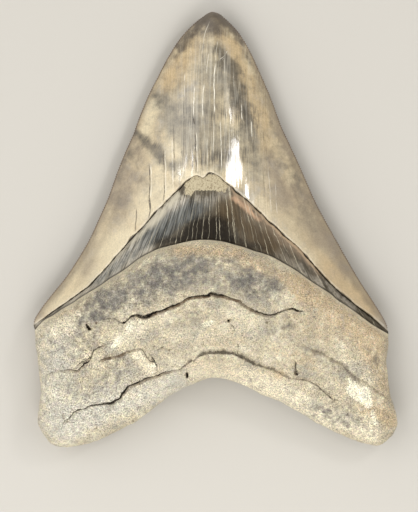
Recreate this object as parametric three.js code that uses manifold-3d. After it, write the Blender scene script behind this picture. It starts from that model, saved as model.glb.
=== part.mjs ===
// A large fossil shark tooth, one natural solid, in millimetres.
// It lies on its flat outer (labial) face, with the bulging inner (lingual) face up.
// X runs across the root, Y from the root lobes to the tip, Z up. The origin is on the
// resting plane, under the middle of the tooth's box.
import * as THREE from "three";
import Module from "manifold-3d";
import { mergeGeometries, mergeVertices } from "three/addons/utils/BufferGeometryUtils.js";

// Driving heights above the resting plane
const lobeHeight = 12; // the root away from its swelling
const swellingHeight = 24; // top of the swelling in the middle of the root
const swelling = { x: -1, y: -13, reachX: 30, reachY: 26 };
const rootRounding = 9; // how far in the root's rounded rim reaches
const lipRounding = 4.5; // the same for the root's border on the neck band
const lipStep = 0.8; // rise from the neck band to the root's border
const enamelThickness = 0.5; // step at the enamel's lower edge
const neckHollow = 0.7; // how far the neck band is dished
const outerEnamelStep = 0.4; // enamel edge on the outer face
const stepFade = 3; // steps die out over this distance from the outline

// Mesh density
const columns = 40;
const crownRows = 26;
const sideCrowding = 0.72; // how much closer the columns stand near the two sides
const endCrowding = 0.5; // the same for the crown's rows, near its tip and its foot

// Plan outline and guide lines, each from left to right or from root to tip
const rootEdgeLine = [
  [-45.2, -54], [-43.2, -56.1], [-40, -57.1], [-36, -56.8], [-31.5, -55.6], [-25.6, -53],
  [-20, -50.1], [-15, -46.2], [-10, -42.4], [-5, -40], [-1.5, -38.9], [2.5, -39.2],
  [7.5, -40.8], [12.5, -43.4], [18, -45.9], [24, -49.3], [30, -52.7], [35.5, -55.1],
  [41.5, -56.7], [44.6, -56], [46.6, -54],
];
const leftRootSide = [
  [-45.2, -54], [-46.7, -51.2], [-46.8, -47.5], [-46, -43.5], [-46, -39], [-46.7, -34.5],
  [-47.2, -30], [-47.4, -26.5],
];
const rightRootSide = [
  [46.6, -54], [47.6, -51.5], [47.4, -48.7], [46, -43.7], [45.2, -39], [45, -34],
  [45.2, -30], [45.4, -27.6],
];
const lipLine = [
  [-47.4, -26.5], [-45, -23.9], [-39.6, -20.4], [-34, -17.4], [-30, -15], [-25, -11.7],
  [-20, -7.9], [-15, -5.3], [-10, -4], [-5, -3], [-1.5, -2.9], [2.7, -3.6], [8.5, -5],
  [15, -7.4], [20, -10.3], [25, -13.9], [30, -17.1], [35, -20.7], [40, -24.1], [45.4, -27.6],
];
const enamelLine = [
  [-47.8, -25.2], [-45.3, -23.4], [-40, -20], [-35.3, -16.7], [-32, -14], [-27.9, -9.3],
  [-24.7, -5.5], [-21.5, -1.8], [-17.5, 2.3], [-14, 6.2], [-10, 9.8], [-7, 12.6],
  [-5.2, 13.7], [-3.3, 13.3], [-1.8, 14.4], [0.4, 13.9], [3.5, 11.3], [8.3, 7.2],
  [14.1, 1.6], [20.7, -4.3], [25.3, -9.3], [28.9, -13.2], [34.3, -17.9], [40, -22.4],
  [45.3, -26.8],
];
const outerEnamelLine = [
  [-47.4, -26.5], [-40, -24.5], [-30, -21.5], [-18, -18.6], [-6, -17.4], [6, -17.6],
  [18, -19.3], [30, -22.6], [40, -25.8], [45.4, -27.6],
];
const outerFoldLine = [
  [-47.8, -25.2], [-40, -19.5], [-30, -13.5], [-18, -9], [-6, -7.2], [6, -7.4],
  [18, -9.8], [30, -15], [40, -22], [45.3, -26.8],
];
const leftShoulder = [[-47.4, -26.5], [-47.8, -25.2]];
const rightShoulder = [[45.4, -27.6], [45.3, -26.8]];
const leftCuttingEdge = [
  [-47.8, -25.2], [-47.5, -23.5], [-45.7, -20.6], [-42.9, -17], [-39.3, -12.5], [-36, -7.5],
  [-33.1, -2.5], [-30.6, 3], [-28.2, 8.5], [-25.9, 15], [-23.9, 20], [-21.7, 25],
  [-19.9, 30], [-17.8, 35], [-15.3, 40], [-12.7, 45], [-9.5, 50], [-6.2, 53.6], [-3.2, 56],
];
const rightCuttingEdge = [
  [45.3, -26.8], [44.9, -24.8], [43.3, -21.9], [40.8, -18], [37.4, -12.7], [34.4, -7.5],
  [31.6, -2.5], [28.8, 2.5], [26.2, 7.5], [24, 12.5], [21.8, 17.5], [19.6, 22.3],
  [17.4, 27], [15.4, 32.5], [13.4, 37.5], [11.2, 42.5], [8.8, 47.5], [5.7, 52.3], [1.4, 56.5],
];
const tipArc = [[-3.2, 56], [-1, 57.1], [1.4, 56.5]];

// Heights that change from root to tip, as [y, height]
const cuttingEdgeHeight = [[-27, 5.9], [0, 4.8], [25, 4], [45, 3.9], [57.1, 4.6]];
const crownRise = [
  [-27, 15.2], [-10, 14.6], [0, 13.7], [12, 12.3], [25, 10.3], [38, 7.7], [48, 5.1],
  [54, 2.9], [56, 1.7], [57.1, 0],
];
const outerFaceHeight = [
  [-57.1, 1], [-40, 1.5], [-20, 1.4], [0, 0.9], [15, 0.15], [22, -0.1], [30, -0.2],
  [38, -0.1], [46, 0.6], [53, 1.8], [57.1, 3],
];
const lobeFoot = { x: 34, y: -46, reachX: 10, reachY: 8, depth: 2 };

// Cracks across the root: the line on plan, with half the width of the opening
const crackStep = 2.2;
const rootCracks = [
  {
    halfWidth: 0.5,
    line: [
      [-28.5, -23.3], [-26, -23.5], [-24, -24.4], [-22.4, -23.4], [-20, -22.3], [-18, -22.9],
      [-15, -21.3], [-10.7, -19.6], [-7.5, -18.1], [-5, -17.3], [-1.3, -16.5], [1.9, -17.2],
      [5.1, -18.4], [8.5, -20.5], [11.7, -21.9], [14.3, -22.3], [17, -21.3], [19.7, -20.7],
      [21.7, -21.4], [24.5, -21.8],
    ],
  },
  {
    halfWidth: 0.5,
    line: [
      [-38.3, -49.5], [-36.7, -47.5], [-33, -46.1], [-28.7, -45.3], [-26, -44.5],
      [-24.4, -42.7], [-22, -40.5], [-19.6, -39.5], [-15.1, -37.7], [-11.3, -36.4],
      [-8.1, -35.1], [-4.5, -32.8], [-1, -31.9], [4.5, -32.7], [8, -34.2], [11.7, -35.6],
      [15.1, -36.4], [18.1, -38.4], [22, -39.1], [26, -40.3], [29.5, -43.3], [31.5, -44.9],
    ],
  },
  {
    halfWidth: 0.35,
    line: [
      [-44.1, -38.1], [-41.2, -37.1], [-35.3, -36.4], [-33.3, -34.9], [-31.7, -31.6],
      [-28.7, -30],
    ],
  },
  {
    halfWidth: 0.35,
    line: [
      [-30.8, -35.1], [-28.5, -33.7], [-24.4, -32.5], [-20.4, -31.3], [-18, -32.8],
      [-16.3, -34.7],
    ],
  },
  {
    halfWidth: 0.4,
    line: [
      [22.5, -29.9], [25.5, -31.6], [29.2, -33.2], [32.7, -35.7], [35.3, -38.3], [38.3, -39.7],
      [41.5, -41.9], [44, -43.9],
    ],
  },
];

// Openings of the root's blood vessels
const rootPits = [
  { x: -33, y: -25.7, radius: 0.7 },
  { x: 3.4, y: -23.7, radius: 0.6 },
  { x: -7.3, y: -38.1, radius: 0.8 },
];

const wasm = await Module();
wasm.setup();

const curve = (points) => new THREE.SplineCurve(points.map(([x, y]) => new THREE.Vector2(x, y)));

const clamp01 = (value) => Math.min(Math.max(value, 0), 1);

const smooth = (value) => {
  const t = clamp01(value);
  return t * t * (3 - 2 * t);
};

// A quarter round: 0 at its foot, 1 from the given distance on
const quarterRound = (distance, reach) => Math.sqrt(1 - (1 - clamp01(distance / reach)) ** 2);

const bell = (x, y, at) =>
  Math.exp(-(((x - at.x) / at.reachX) ** 2) - ((y - at.y) / at.reachY) ** 2);

// A smooth curve through [place, value] stations
function along(stations, place) {
  const last = stations.length - 1;
  let i = 0;
  while (i < last - 1 && place > stations[i + 1][0]) i++;
  const slope = (k) => {
    const [a, b] = [stations[Math.max(k - 1, 0)], stations[Math.min(k + 1, last)]];
    return (b[1] - a[1]) / (b[0] - a[0]);
  };
  const [[x0, y0], [x1, y1]] = [stations[i], stations[i + 1]];
  const span = x1 - x0;
  const t = clamp01((place - x0) / span);
  const bend = t * t * (3 - 2 * t);
  return (
    y0 + (y1 - y0) * bend + span * slope(i) * t * (1 - t) ** 2 - span * slope(i + 1) * t * t * (1 - t)
  );
}

// The whole outline as one closed ring of points
const outline = [
  ...curve(rootEdgeLine).getSpacedPoints(120),
  ...curve(rightRootSide).getSpacedPoints(30),
  ...curve(rightShoulder).getSpacedPoints(2),
  ...curve(rightCuttingEdge).getSpacedPoints(110),
  ...curve(tipArc).getSpacedPoints(10).reverse(),
  ...curve(leftCuttingEdge).getSpacedPoints(110).reverse(),
  ...curve(leftShoulder).getSpacedPoints(2).reverse(),
  ...curve(leftRootSide).getSpacedPoints(30).reverse(),
];

function distanceTo(line, x, y) {
  let nearest = Infinity;
  for (let i = 0; i < line.length - 1; i++) {
    const [a, b] = [line[i], line[i + 1]];
    const [dx, dy] = [b.x - a.x, b.y - a.y];
    const t = clamp01(((x - a.x) * dx + (y - a.y) * dy) / (dx * dx + dy * dy || 1));
    nearest = Math.min(nearest, Math.hypot(a.x + t * dx - x, a.y + t * dy - y));
  }
  return nearest;
}

// Where a level line across the tooth meets the outline
function chord(y) {
  const level = Math.min(Math.max(y, -57), 57);
  let [left, right] = [Infinity, -Infinity];
  for (let i = 0; i < outline.length - 1; i++) {
    const [a, b] = [outline[i], outline[i + 1]];
    if ((a.y - level) * (b.y - level) > 0 || a.y === b.y) continue;
    const x = a.x + ((level - a.y) / (b.y - a.y)) * (b.x - a.x);
    [left, right] = [Math.min(left, x), Math.max(right, x)];
  }
  return [left, right];
}

// 0 on the tooth's long axis, 1 at its sides
function sideways(x, y) {
  const [left, right] = chord(y);
  return Math.min(Math.abs((2 * x - left - right) / (right - left)), 1);
}

const rootDome = (x, y) => lobeHeight + (swellingHeight - lobeHeight) * bell(x, y, swelling);

// The outline's own height, where the two faces meet
function rimHeight(x, y) {
  const crown = along(cuttingEdgeHeight, y);
  return crown + (0.45 * rootDome(x, y) - crown) * smooth((-27 - y) / 9);
}

const crownTop = (x, y) =>
  rimHeight(x, y) + along(crownRise, y) * (1 - sideways(x, y) ** 2) ** 1.1;

const lipPoints = curve(lipLine).getSpacedPoints(90);

function innerFace(x, y, zone, across) {
  const inset = distanceTo(outline, x, y);
  const fade = smooth(inset / stepFade);
  if (zone === "crown") return crownTop(x, y);
  const neck = crownTop(x, y) - enamelThickness * fade;
  if (zone === "neck") return neck - neckHollow * fade * 4 * across * (1 - across);
  const rim = rimHeight(x, y);
  const body = rim + (rootDome(x, y) - rim) * quarterRound(inset, rootRounding);
  const foot = neck + lipStep * fade;
  return foot + (body - foot) * quarterRound(distanceTo(lipPoints, x, y), lipRounding);
}

function outerFace(x, y, zone) {
  const inset = distanceTo(outline, x, y);
  const rim = rimHeight(x, y);
  const foot = lobeFoot.depth * bell(Math.abs(x), y, lobeFoot);
  const face = along(outerFaceHeight, y) - foot;
  const lens = 1 - sideways(x, y) ** 2.4;
  const rounded = quarterRound(inset, rootRounding);
  const toRoot = smooth((-19 - y) / 14);
  const share = lens + (rounded - lens) * toRoot;
  const step = zone === "root" ? outerEnamelStep * smooth(inset / stepFade) * (1 - toRoot) : 0;
  return Math.max(rim - (rim - face) * share + step, 0);
}

// A grid patch stretched between four boundary curves
function patch(bottom, top, left, right) {
  const [b, t, l, r] = [bottom, top, left, right].map(curve);
  const mix = (p, q, share) => p.clone().lerp(q, share);
  return (u, v) => {
    const across = mix(l.getPointAt(v), r.getPointAt(v), u);
    const up = mix(b.getPointAt(u), t.getPointAt(u), v);
    const corners = mix(
      mix(b.getPointAt(0), b.getPointAt(1), u),
      mix(t.getPointAt(0), t.getPointAt(1), u),
      v,
    );
    return across.add(up).sub(corners);
  };
}

// Even steps from 0 to 1, drawn closer together at both ends
const crowded = (s, amount) => s - (amount / (2 * Math.PI)) * Math.sin(2 * Math.PI * s);

const rootLevels = [0, 0.012, 0.04, 0.09, 0.16, 0.26, 0.39, 0.54, 0.68, 0.8, 0.88, 0.94, 0.98, 1];
const neckLevels = [0.03, 0.25, 0.5, 0.75, 0.97];
const crownLevels = Array.from({ length: crownRows }, (_, i) =>
  crowded(i / (crownRows - 1), endCrowding),
);

function face(lowerGuide, upperGuide, heightAt) {
  const zones = [
    ["root", rootLevels, patch(rootEdgeLine, lowerGuide, leftRootSide, rightRootSide)],
    ["neck", neckLevels, patch(lowerGuide, upperGuide, leftShoulder, rightShoulder)],
    ["crown", crownLevels, patch(upperGuide, tipArc, leftCuttingEdge, rightCuttingEdge)],
  ];
  const rows = zones
    .flatMap(([zone, levels, place]) => levels.map((level) => ({ zone, level, place })))
    .reverse();
  const sheet = new THREE.PlaneGeometry(1, 1, columns, rows.length - 1);
  rows.forEach(({ zone, level, place }, j) => {
    for (let i = 0; i <= columns; i++) {
      const { x, y } = place(crowded(i / columns, sideCrowding), level);
      const onRim = i === 0 || i === columns || j === 0 || j === rows.length - 1;
      const z = onRim ? rimHeight(x, y) : heightAt(x, y, zone, level);
      sheet.attributes.position.setXYZ(j * (columns + 1) + i, x, y, z);
    }
  });
  sheet.deleteAttribute("normal");
  sheet.deleteAttribute("uv");
  return sheet;
}

function solidFrom(geometry) {
  const merged = mergeVertices(geometry, 1e-4);
  return new wasm.Manifold(
    new wasm.Mesh({
      numProp: 3,
      vertProperties: merged.attributes.position.array,
      triVerts: new Uint32Array(merged.index.array),
    }),
  );
}

function plain(geometry) {
  geometry.deleteAttribute("normal");
  geometry.deleteAttribute("uv");
  return geometry;
}

// The tooth before it cracked: its two faces joined at the outline
function wholeTooth() {
  const inner = face(lipLine, enamelLine, innerFace);
  const outer = face(outerEnamelLine, outerFoldLine, outerFace);
  outer.setIndex(Array.from(outer.index.array).reverse());
  return solidFrom(mergeGeometries([inner, outer]));
}

// A four-sided cutter, one corner down, that follows a crack over the root's inner face
function crackCutter({ halfWidth, line }) {
  const plan = curve(line);
  const steps = Math.round(plan.getLength() / crackStep);
  const path = new THREE.CatmullRomCurve3(
    plan
      .getSpacedPoints(steps)
      .map(({ x, y }) => new THREE.Vector3(x, y, innerFace(x, y, "root"))),
  );
  const corners = new THREE.EllipseCurve(0, 0, halfWidth, halfWidth).getPoints(4).slice(0, 4);
  const section = new THREE.Shape(corners);
  return solidFrom(plain(new THREE.ExtrudeGeometry(section, { steps, extrudePath: path })));
}

function pitCutter({ x, y, radius }) {
  const ball = new THREE.IcosahedronGeometry(radius, 1);
  ball.scale(1, 1, 1.6);
  ball.translate(x, y, innerFace(x, y, "root") - 0.4 * radius);
  return solidFrom(plain(ball));
}

function crackedTooth() {
  const cutters = [...rootCracks.map(crackCutter), ...rootPits.map(pitCutter)];
  const solid = cutters.reduce((rest, cutter) => rest.subtract(cutter), wholeTooth());
  const { vertProperties, triVerts } = solid.getMesh();
  const geometry = new THREE.BufferGeometry();
  geometry.setAttribute("position", new THREE.BufferAttribute(vertProperties, 3));
  geometry.setIndex(new THREE.BufferAttribute(triVerts, 1));
  geometry.computeVertexNormals();
  return geometry;
}

const fossil = new THREE.MeshStandardMaterial({
  color: new THREE.Color("#bcae93"),
  roughness: 0.55,
  metalness: 0,
});
const tooth = new THREE.Mesh(crackedTooth(), fossil);
tooth.name = "tooth";

const model = new THREE.Group();
model.add(tooth);
export default model;
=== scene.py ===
import math
from functools import partial

import bmesh
import bpy
import numpy as np
from mathutils import Matrix, Vector, kdtree, noise


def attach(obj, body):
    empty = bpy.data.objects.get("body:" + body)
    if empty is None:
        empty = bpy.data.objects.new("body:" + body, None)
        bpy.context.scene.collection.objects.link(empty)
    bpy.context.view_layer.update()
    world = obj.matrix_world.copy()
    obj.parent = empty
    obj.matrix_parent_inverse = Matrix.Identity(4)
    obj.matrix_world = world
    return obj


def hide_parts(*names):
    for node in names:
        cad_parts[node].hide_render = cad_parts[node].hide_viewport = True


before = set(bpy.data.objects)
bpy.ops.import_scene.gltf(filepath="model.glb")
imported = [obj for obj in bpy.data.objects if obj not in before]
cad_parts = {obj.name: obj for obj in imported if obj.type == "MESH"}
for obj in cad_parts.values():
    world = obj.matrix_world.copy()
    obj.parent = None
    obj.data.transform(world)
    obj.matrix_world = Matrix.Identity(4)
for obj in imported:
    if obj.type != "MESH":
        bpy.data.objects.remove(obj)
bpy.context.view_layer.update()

# A large fossil shark tooth lying on its outer face: a glossy enamel blade, a dark striated
# neck band and a thick, weathered root. Places are in millimetres, the scene is in metres.
mm = 0.001


def smooth(value):  # 0 below 0, 1 above 1, and an S-shaped rise between
    t = np.clip(value, 0, 1)
    return t * t * (3 - 2 * t)


def quarterRound(distance, reach):  # a rounded edge: 0 at its foot, 1 from that reach on
    return np.sqrt(1 - (1 - np.clip(distance / reach, 0, 1)) ** 2)


def bell(x, y, at):  # 1 at a place, falling to 0 around it
    return np.exp(-(((x - at["x"]) / at["reachX"]) ** 2) - ((y - at["y"]) / at["reachY"]) ** 2)


def along(stations, place):  # a smooth curve through (place, value) stations
    xs, ys = np.array(stations, float).T
    slopes = np.gradient(ys, xs)
    slopes[1:-1] = (ys[2:] - ys[:-2]) / (xs[2:] - xs[:-2])
    i = np.clip(np.searchsorted(xs, place) - 1, 0, len(xs) - 2)
    span = xs[i + 1] - xs[i]
    t = np.clip((place - xs[i]) / span, 0, 1)
    tangents = slopes[i] * t * (1 - t) ** 2 - slopes[i + 1] * t * t * (1 - t)
    return ys[i] + (ys[i + 1] - ys[i]) * smooth(t) + span * tangents


def throughPoints(points, step=0.2):  # a smooth line through points, cut in even steps
    p = np.array(points, float)
    padded = np.vstack([p[:1], p, p[-1:]])
    t = np.linspace(0, 1, 24, endpoint=False)[:, None]
    pieces = []
    for a, b, c, d in zip(padded[:-3], padded[1:-2], padded[2:-1], padded[3:]):
        u, w = (c - a) / 2, (d - b) / 2
        pieces.append((2 * b - 2 * c + u + w) * t**3 + (3 * c - 3 * b - 2 * u - w) * t**2 + u * t + b)
    dense = np.vstack([*pieces, p[-1:]])
    run = np.concatenate([[0], np.cumsum(np.hypot(*np.diff(dense, axis=0).T))])
    even = np.linspace(0, run[-1], max(int(round(run[-1] / step)), 1) + 1)
    return np.column_stack([np.interp(even, run, dense[:, k]) for k in (0, 1)])


def pointsAt(line, share):  # points at a share of a line's length
    run = np.linspace(0, 1, len(line))
    return np.column_stack([np.interp(share, run, line[:, k]) for k in (0, 1)])


def nearestPlace(places, points):  # which of the places is nearest to each point, and how far it is
    tree = kdtree.KDTree(len(places))
    for i, (x, y) in enumerate(places):
        tree.insert((x, y, 0), i)
    tree.balance()
    found = [tree.find((x, y, 0))[1:] for x, y in points]
    return np.array([f[0] for f in found]), np.array([f[1] for f in found])


def nearestOn(line, points):  # distance to a line, and the share of its length there
    near, _ = nearestPlace(line, points)
    best = np.full(len(points), np.inf)
    place = np.zeros(len(points))
    for start in (near - 1, near):
        ok = (start >= 0) & (start < len(line) - 1)
        i = np.clip(start, 0, len(line) - 2)
        a, d = line[i], line[i + 1] - line[i]
        t = np.clip(((points - a) * d).sum(1) / (d * d).sum(1), 0, 1)
        gap = np.hypot(*(points - a - d * t[:, None]).T)
        better = ok & (gap < best)
        best[better] = gap[better]
        place[better] = (i + t)[better] / (len(line) - 1)
    return best, place


def noiseAt(points, size, seed, octaves=1):  # smooth noise, about -1 to 1, with lumps of that size in mm
    total = np.zeros(len(points))
    for k in range(octaves):
        scaled = points / size * 2**k + seed * 17.3
        total += 0.5**k * np.array([noise.noise(p) for p in scaled.tolist()])
    return total


toothShape = {
    # plan outline and guide lines
    "rootEdge": [
        (-45.2, -54), (-43.2, -56.1), (-40, -57.1), (-36, -56.8), (-31.5, -55.6), (-25.6, -53),
        (-20, -50.1), (-15, -46.2), (-10, -42.4), (-5, -40), (-1.5, -38.9), (2.5, -39.2), (7.5, -40.8),
        (12.5, -43.4), (18, -45.9), (24, -49.3), (30, -52.7), (35.5, -55.1), (41.5, -56.7), (44.6, -56),
        (46.6, -54),
    ],
    "leftRootSide": [
        (-45.2, -54), (-46.7, -51.2), (-46.8, -47.5), (-46, -43.5), (-46, -39), (-46.7, -34.5),
        (-47.2, -30), (-47.4, -26.5),
    ],
    "rightRootSide": [
        (46.6, -54), (47.6, -51.5), (47.4, -48.7), (46, -43.7), (45.2, -39), (45, -34), (45.2, -30),
        (45.4, -27.6),
    ],
    "lip": [
        (-47.4, -26.5), (-45, -24), (-42.5, -22.6), (-40, -20.9), (-37.5, -19.5), (-35, -17.8),
        (-32.5, -16.3), (-30, -14.8), (-27.5, -13), (-25, -11.5), (-22.5, -9.8), (-20, -7.9),
        (-17.5, -6.5), (-15, -5.3), (-12.5, -4.6), (-10, -4), (-7.5, -3.4), (-5, -3), (-2.5, -2.9),
        (0, -3.1), (2.5, -3.5), (5, -4.2), (7.5, -4.9), (10, -5.8), (12.5, -6.5), (15, -7.5),
        (17.5, -8.9), (20, -10.3), (22.5, -12), (25, -13.8), (27.5, -15.4), (30, -17), (31.8, -18.6),
        (34, -20), (36.5, -21.7), (38.5, -23.2), (41, -25), (43.5, -26.5), (45.4, -27.6),
    ],
    "enamelEdge": [
        (-47.8, -25.2), (-45, -23.4), (-42.4, -21.5), (-40, -19.9), (-37.6, -18.2), (-35.5, -16.7),
        (-32.9, -14.8), (-31, -12.7), (-29.5, -11.2), (-27.5, -9), (-26, -7.1), (-24, -5),
        (-22.9, -3.6), (-21.7, -2.2), (-20, -0.6), (-18.5, 1), (-17.5, 2.1), (-16, 4), (-15, 5),
        (-13.6, 6.3), (-12, 8), (-10.4, 9.5), (-9.1, 10.7), (-8, 12), (-6.9, 12.8), (-5.2, 13.8),
        (-4, 13.4), (-3.3, 13.2), (-2.6, 13.6), (-1.9, 14.4), (-1.1, 14.5), (0, 14.1), (1.3, 13.2),
        (2.4, 12.1), (3.5, 11.3), (4.4, 10.7), (5.2, 9.7), (7, 8.4), (8.8, 6.9), (10.5, 5.2),
        (12.3, 3.6), (13.7, 2), (15.1, 1), (16.5, -0.3), (18, -1.9), (20, -3.5), (22, -5.3), (25, -8.7),
        (27, -11), (29, -13.2), (30.5, -14.7), (32.7, -16.7), (34.5, -18.1), (37, -20.2), (40, -22.4),
        (42.5, -24.4), (45.3, -26.8),
    ],
    "outerEnamelEdge": [
        (-47.4, -26.5), (-40, -24.5), (-30, -21.5), (-18, -18.6), (-6, -17.4), (6, -17.6), (18, -19.3),
        (30, -22.6), (40, -25.8), (45.4, -27.6),
    ],
    "outerFold": [
        (-47.8, -25.2), (-40, -19.5), (-30, -13.5), (-18, -9), (-6, -7.2), (6, -7.4), (18, -9.8),
        (30, -15), (40, -22), (45.3, -26.8),
    ],
    "leftCuttingEdge": [
        (-47.8, -25.2), (-47.5, -23.5), (-45.7, -20.6), (-42.9, -17), (-39.3, -12.5), (-36, -7.5),
        (-33.1, -2.5), (-30.6, 3), (-28.2, 8.5), (-25.9, 15), (-23.9, 20), (-21.7, 25), (-19.9, 30),
        (-17.8, 35), (-15.3, 40), (-12.7, 45), (-9.5, 50), (-6.2, 53.6), (-3.2, 56),
    ],
    "rightCuttingEdge": [
        (45.3, -26.8), (44.9, -24.8), (43.3, -21.9), (40.8, -18), (37.4, -12.7), (34.4, -7.5),
        (31.6, -2.5), (28.8, 2.5), (26.2, 7.5), (24, 12.5), (21.8, 17.5), (19.6, 22.3), (17.4, 27),
        (15.4, 32.5), (13.4, 37.5), (11.2, 42.5), (8.8, 47.5), (5.7, 52.3), (1.4, 56.5),
    ],
    "tip": [(-3.2, 56), (-1, 57.1), (1.4, 56.5)],
    # heights
    "lobeHeight": 12, "swellingHeight": 23.7,
    "swelling": {"x": -1, "y": -13, "reachX": 30, "reachY": 26},
    "lobeFoot": {"x": 34, "y": -46, "reachX": 10, "reachY": 8},
    "lobeFootDepth": 2,
    "rootRounding": 9, "lipRounding": 4.5, "lipStep": 0.8,
    "enamelThickness": 0.5, "outerEnamelStep": 0.4, "neckHollow": 0.7, "stepFade": 3,
    "cuttingEdgeHeight": [(-27, 5.9), (0, 4.8), (25, 4), (45, 3.9), (57.1, 4.6)],
    "crownRise": [
        (-27, 15.2), (-10, 14.6), (0, 13.7), (12, 12.3), (25, 10.3), (38, 7.7), (48, 5.1), (54, 2.9),
        (56, 1.7), (57.1, 0),
    ],
    "outerFaceHeight": [
        (-57.1, 1), (-40, 1.5), (-20, 1.4), (0, 0.9), (15, 0.15), (22, -0.1), (30, -0.2), (38, -0.1),
        (46, 0.6), (53, 1.8), (57.1, 3),
    ],
    # fine relief: lump size and height in mm on the root, saw teeth, and the gap along the enamel's edge
    "rootLumps": [(8, 0.34), (3.4, 0.22), (1.5, 0.1)],
    "serrationPitch": 0.62, "serrationDepth": 0.2, "serratedEdge": 0.5,
    "edgeGapWidth": 0.12, "rightGapWider": 0.07, "edgeGapDepth": 0.6, "edgeWobbleLength": 140,
    "edgeNotches": [(-9.3, 10.7, 0.2), (-22, -2.1, 0.26), (-15.5, 4.5, 0.1), (-1.8, 14.4, 0.1)],
    "crackRoughness": 0.11, "slopeReach": 1.1, "slopeDepth": 0.22,
    # mesh: its first grid, how often it is refined, and the millimetres between its points
    "columns": 64, "rootRows": 32, "neckRows": 10, "crownRows": 48, "rounds": 4,
    "apart": {
        "root": 0.7, "neck": 0.6, "crown": 0.75, "outerRoot": 1.2, "outerCrown": 1.8, "crack": 0.2,
        "outerCrack": 0.45, "enamelEdge": 0.22, "lip": 0.35, "fineCrack": 0.3, "cuttingEdge": 0.18,
    },
}

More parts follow.
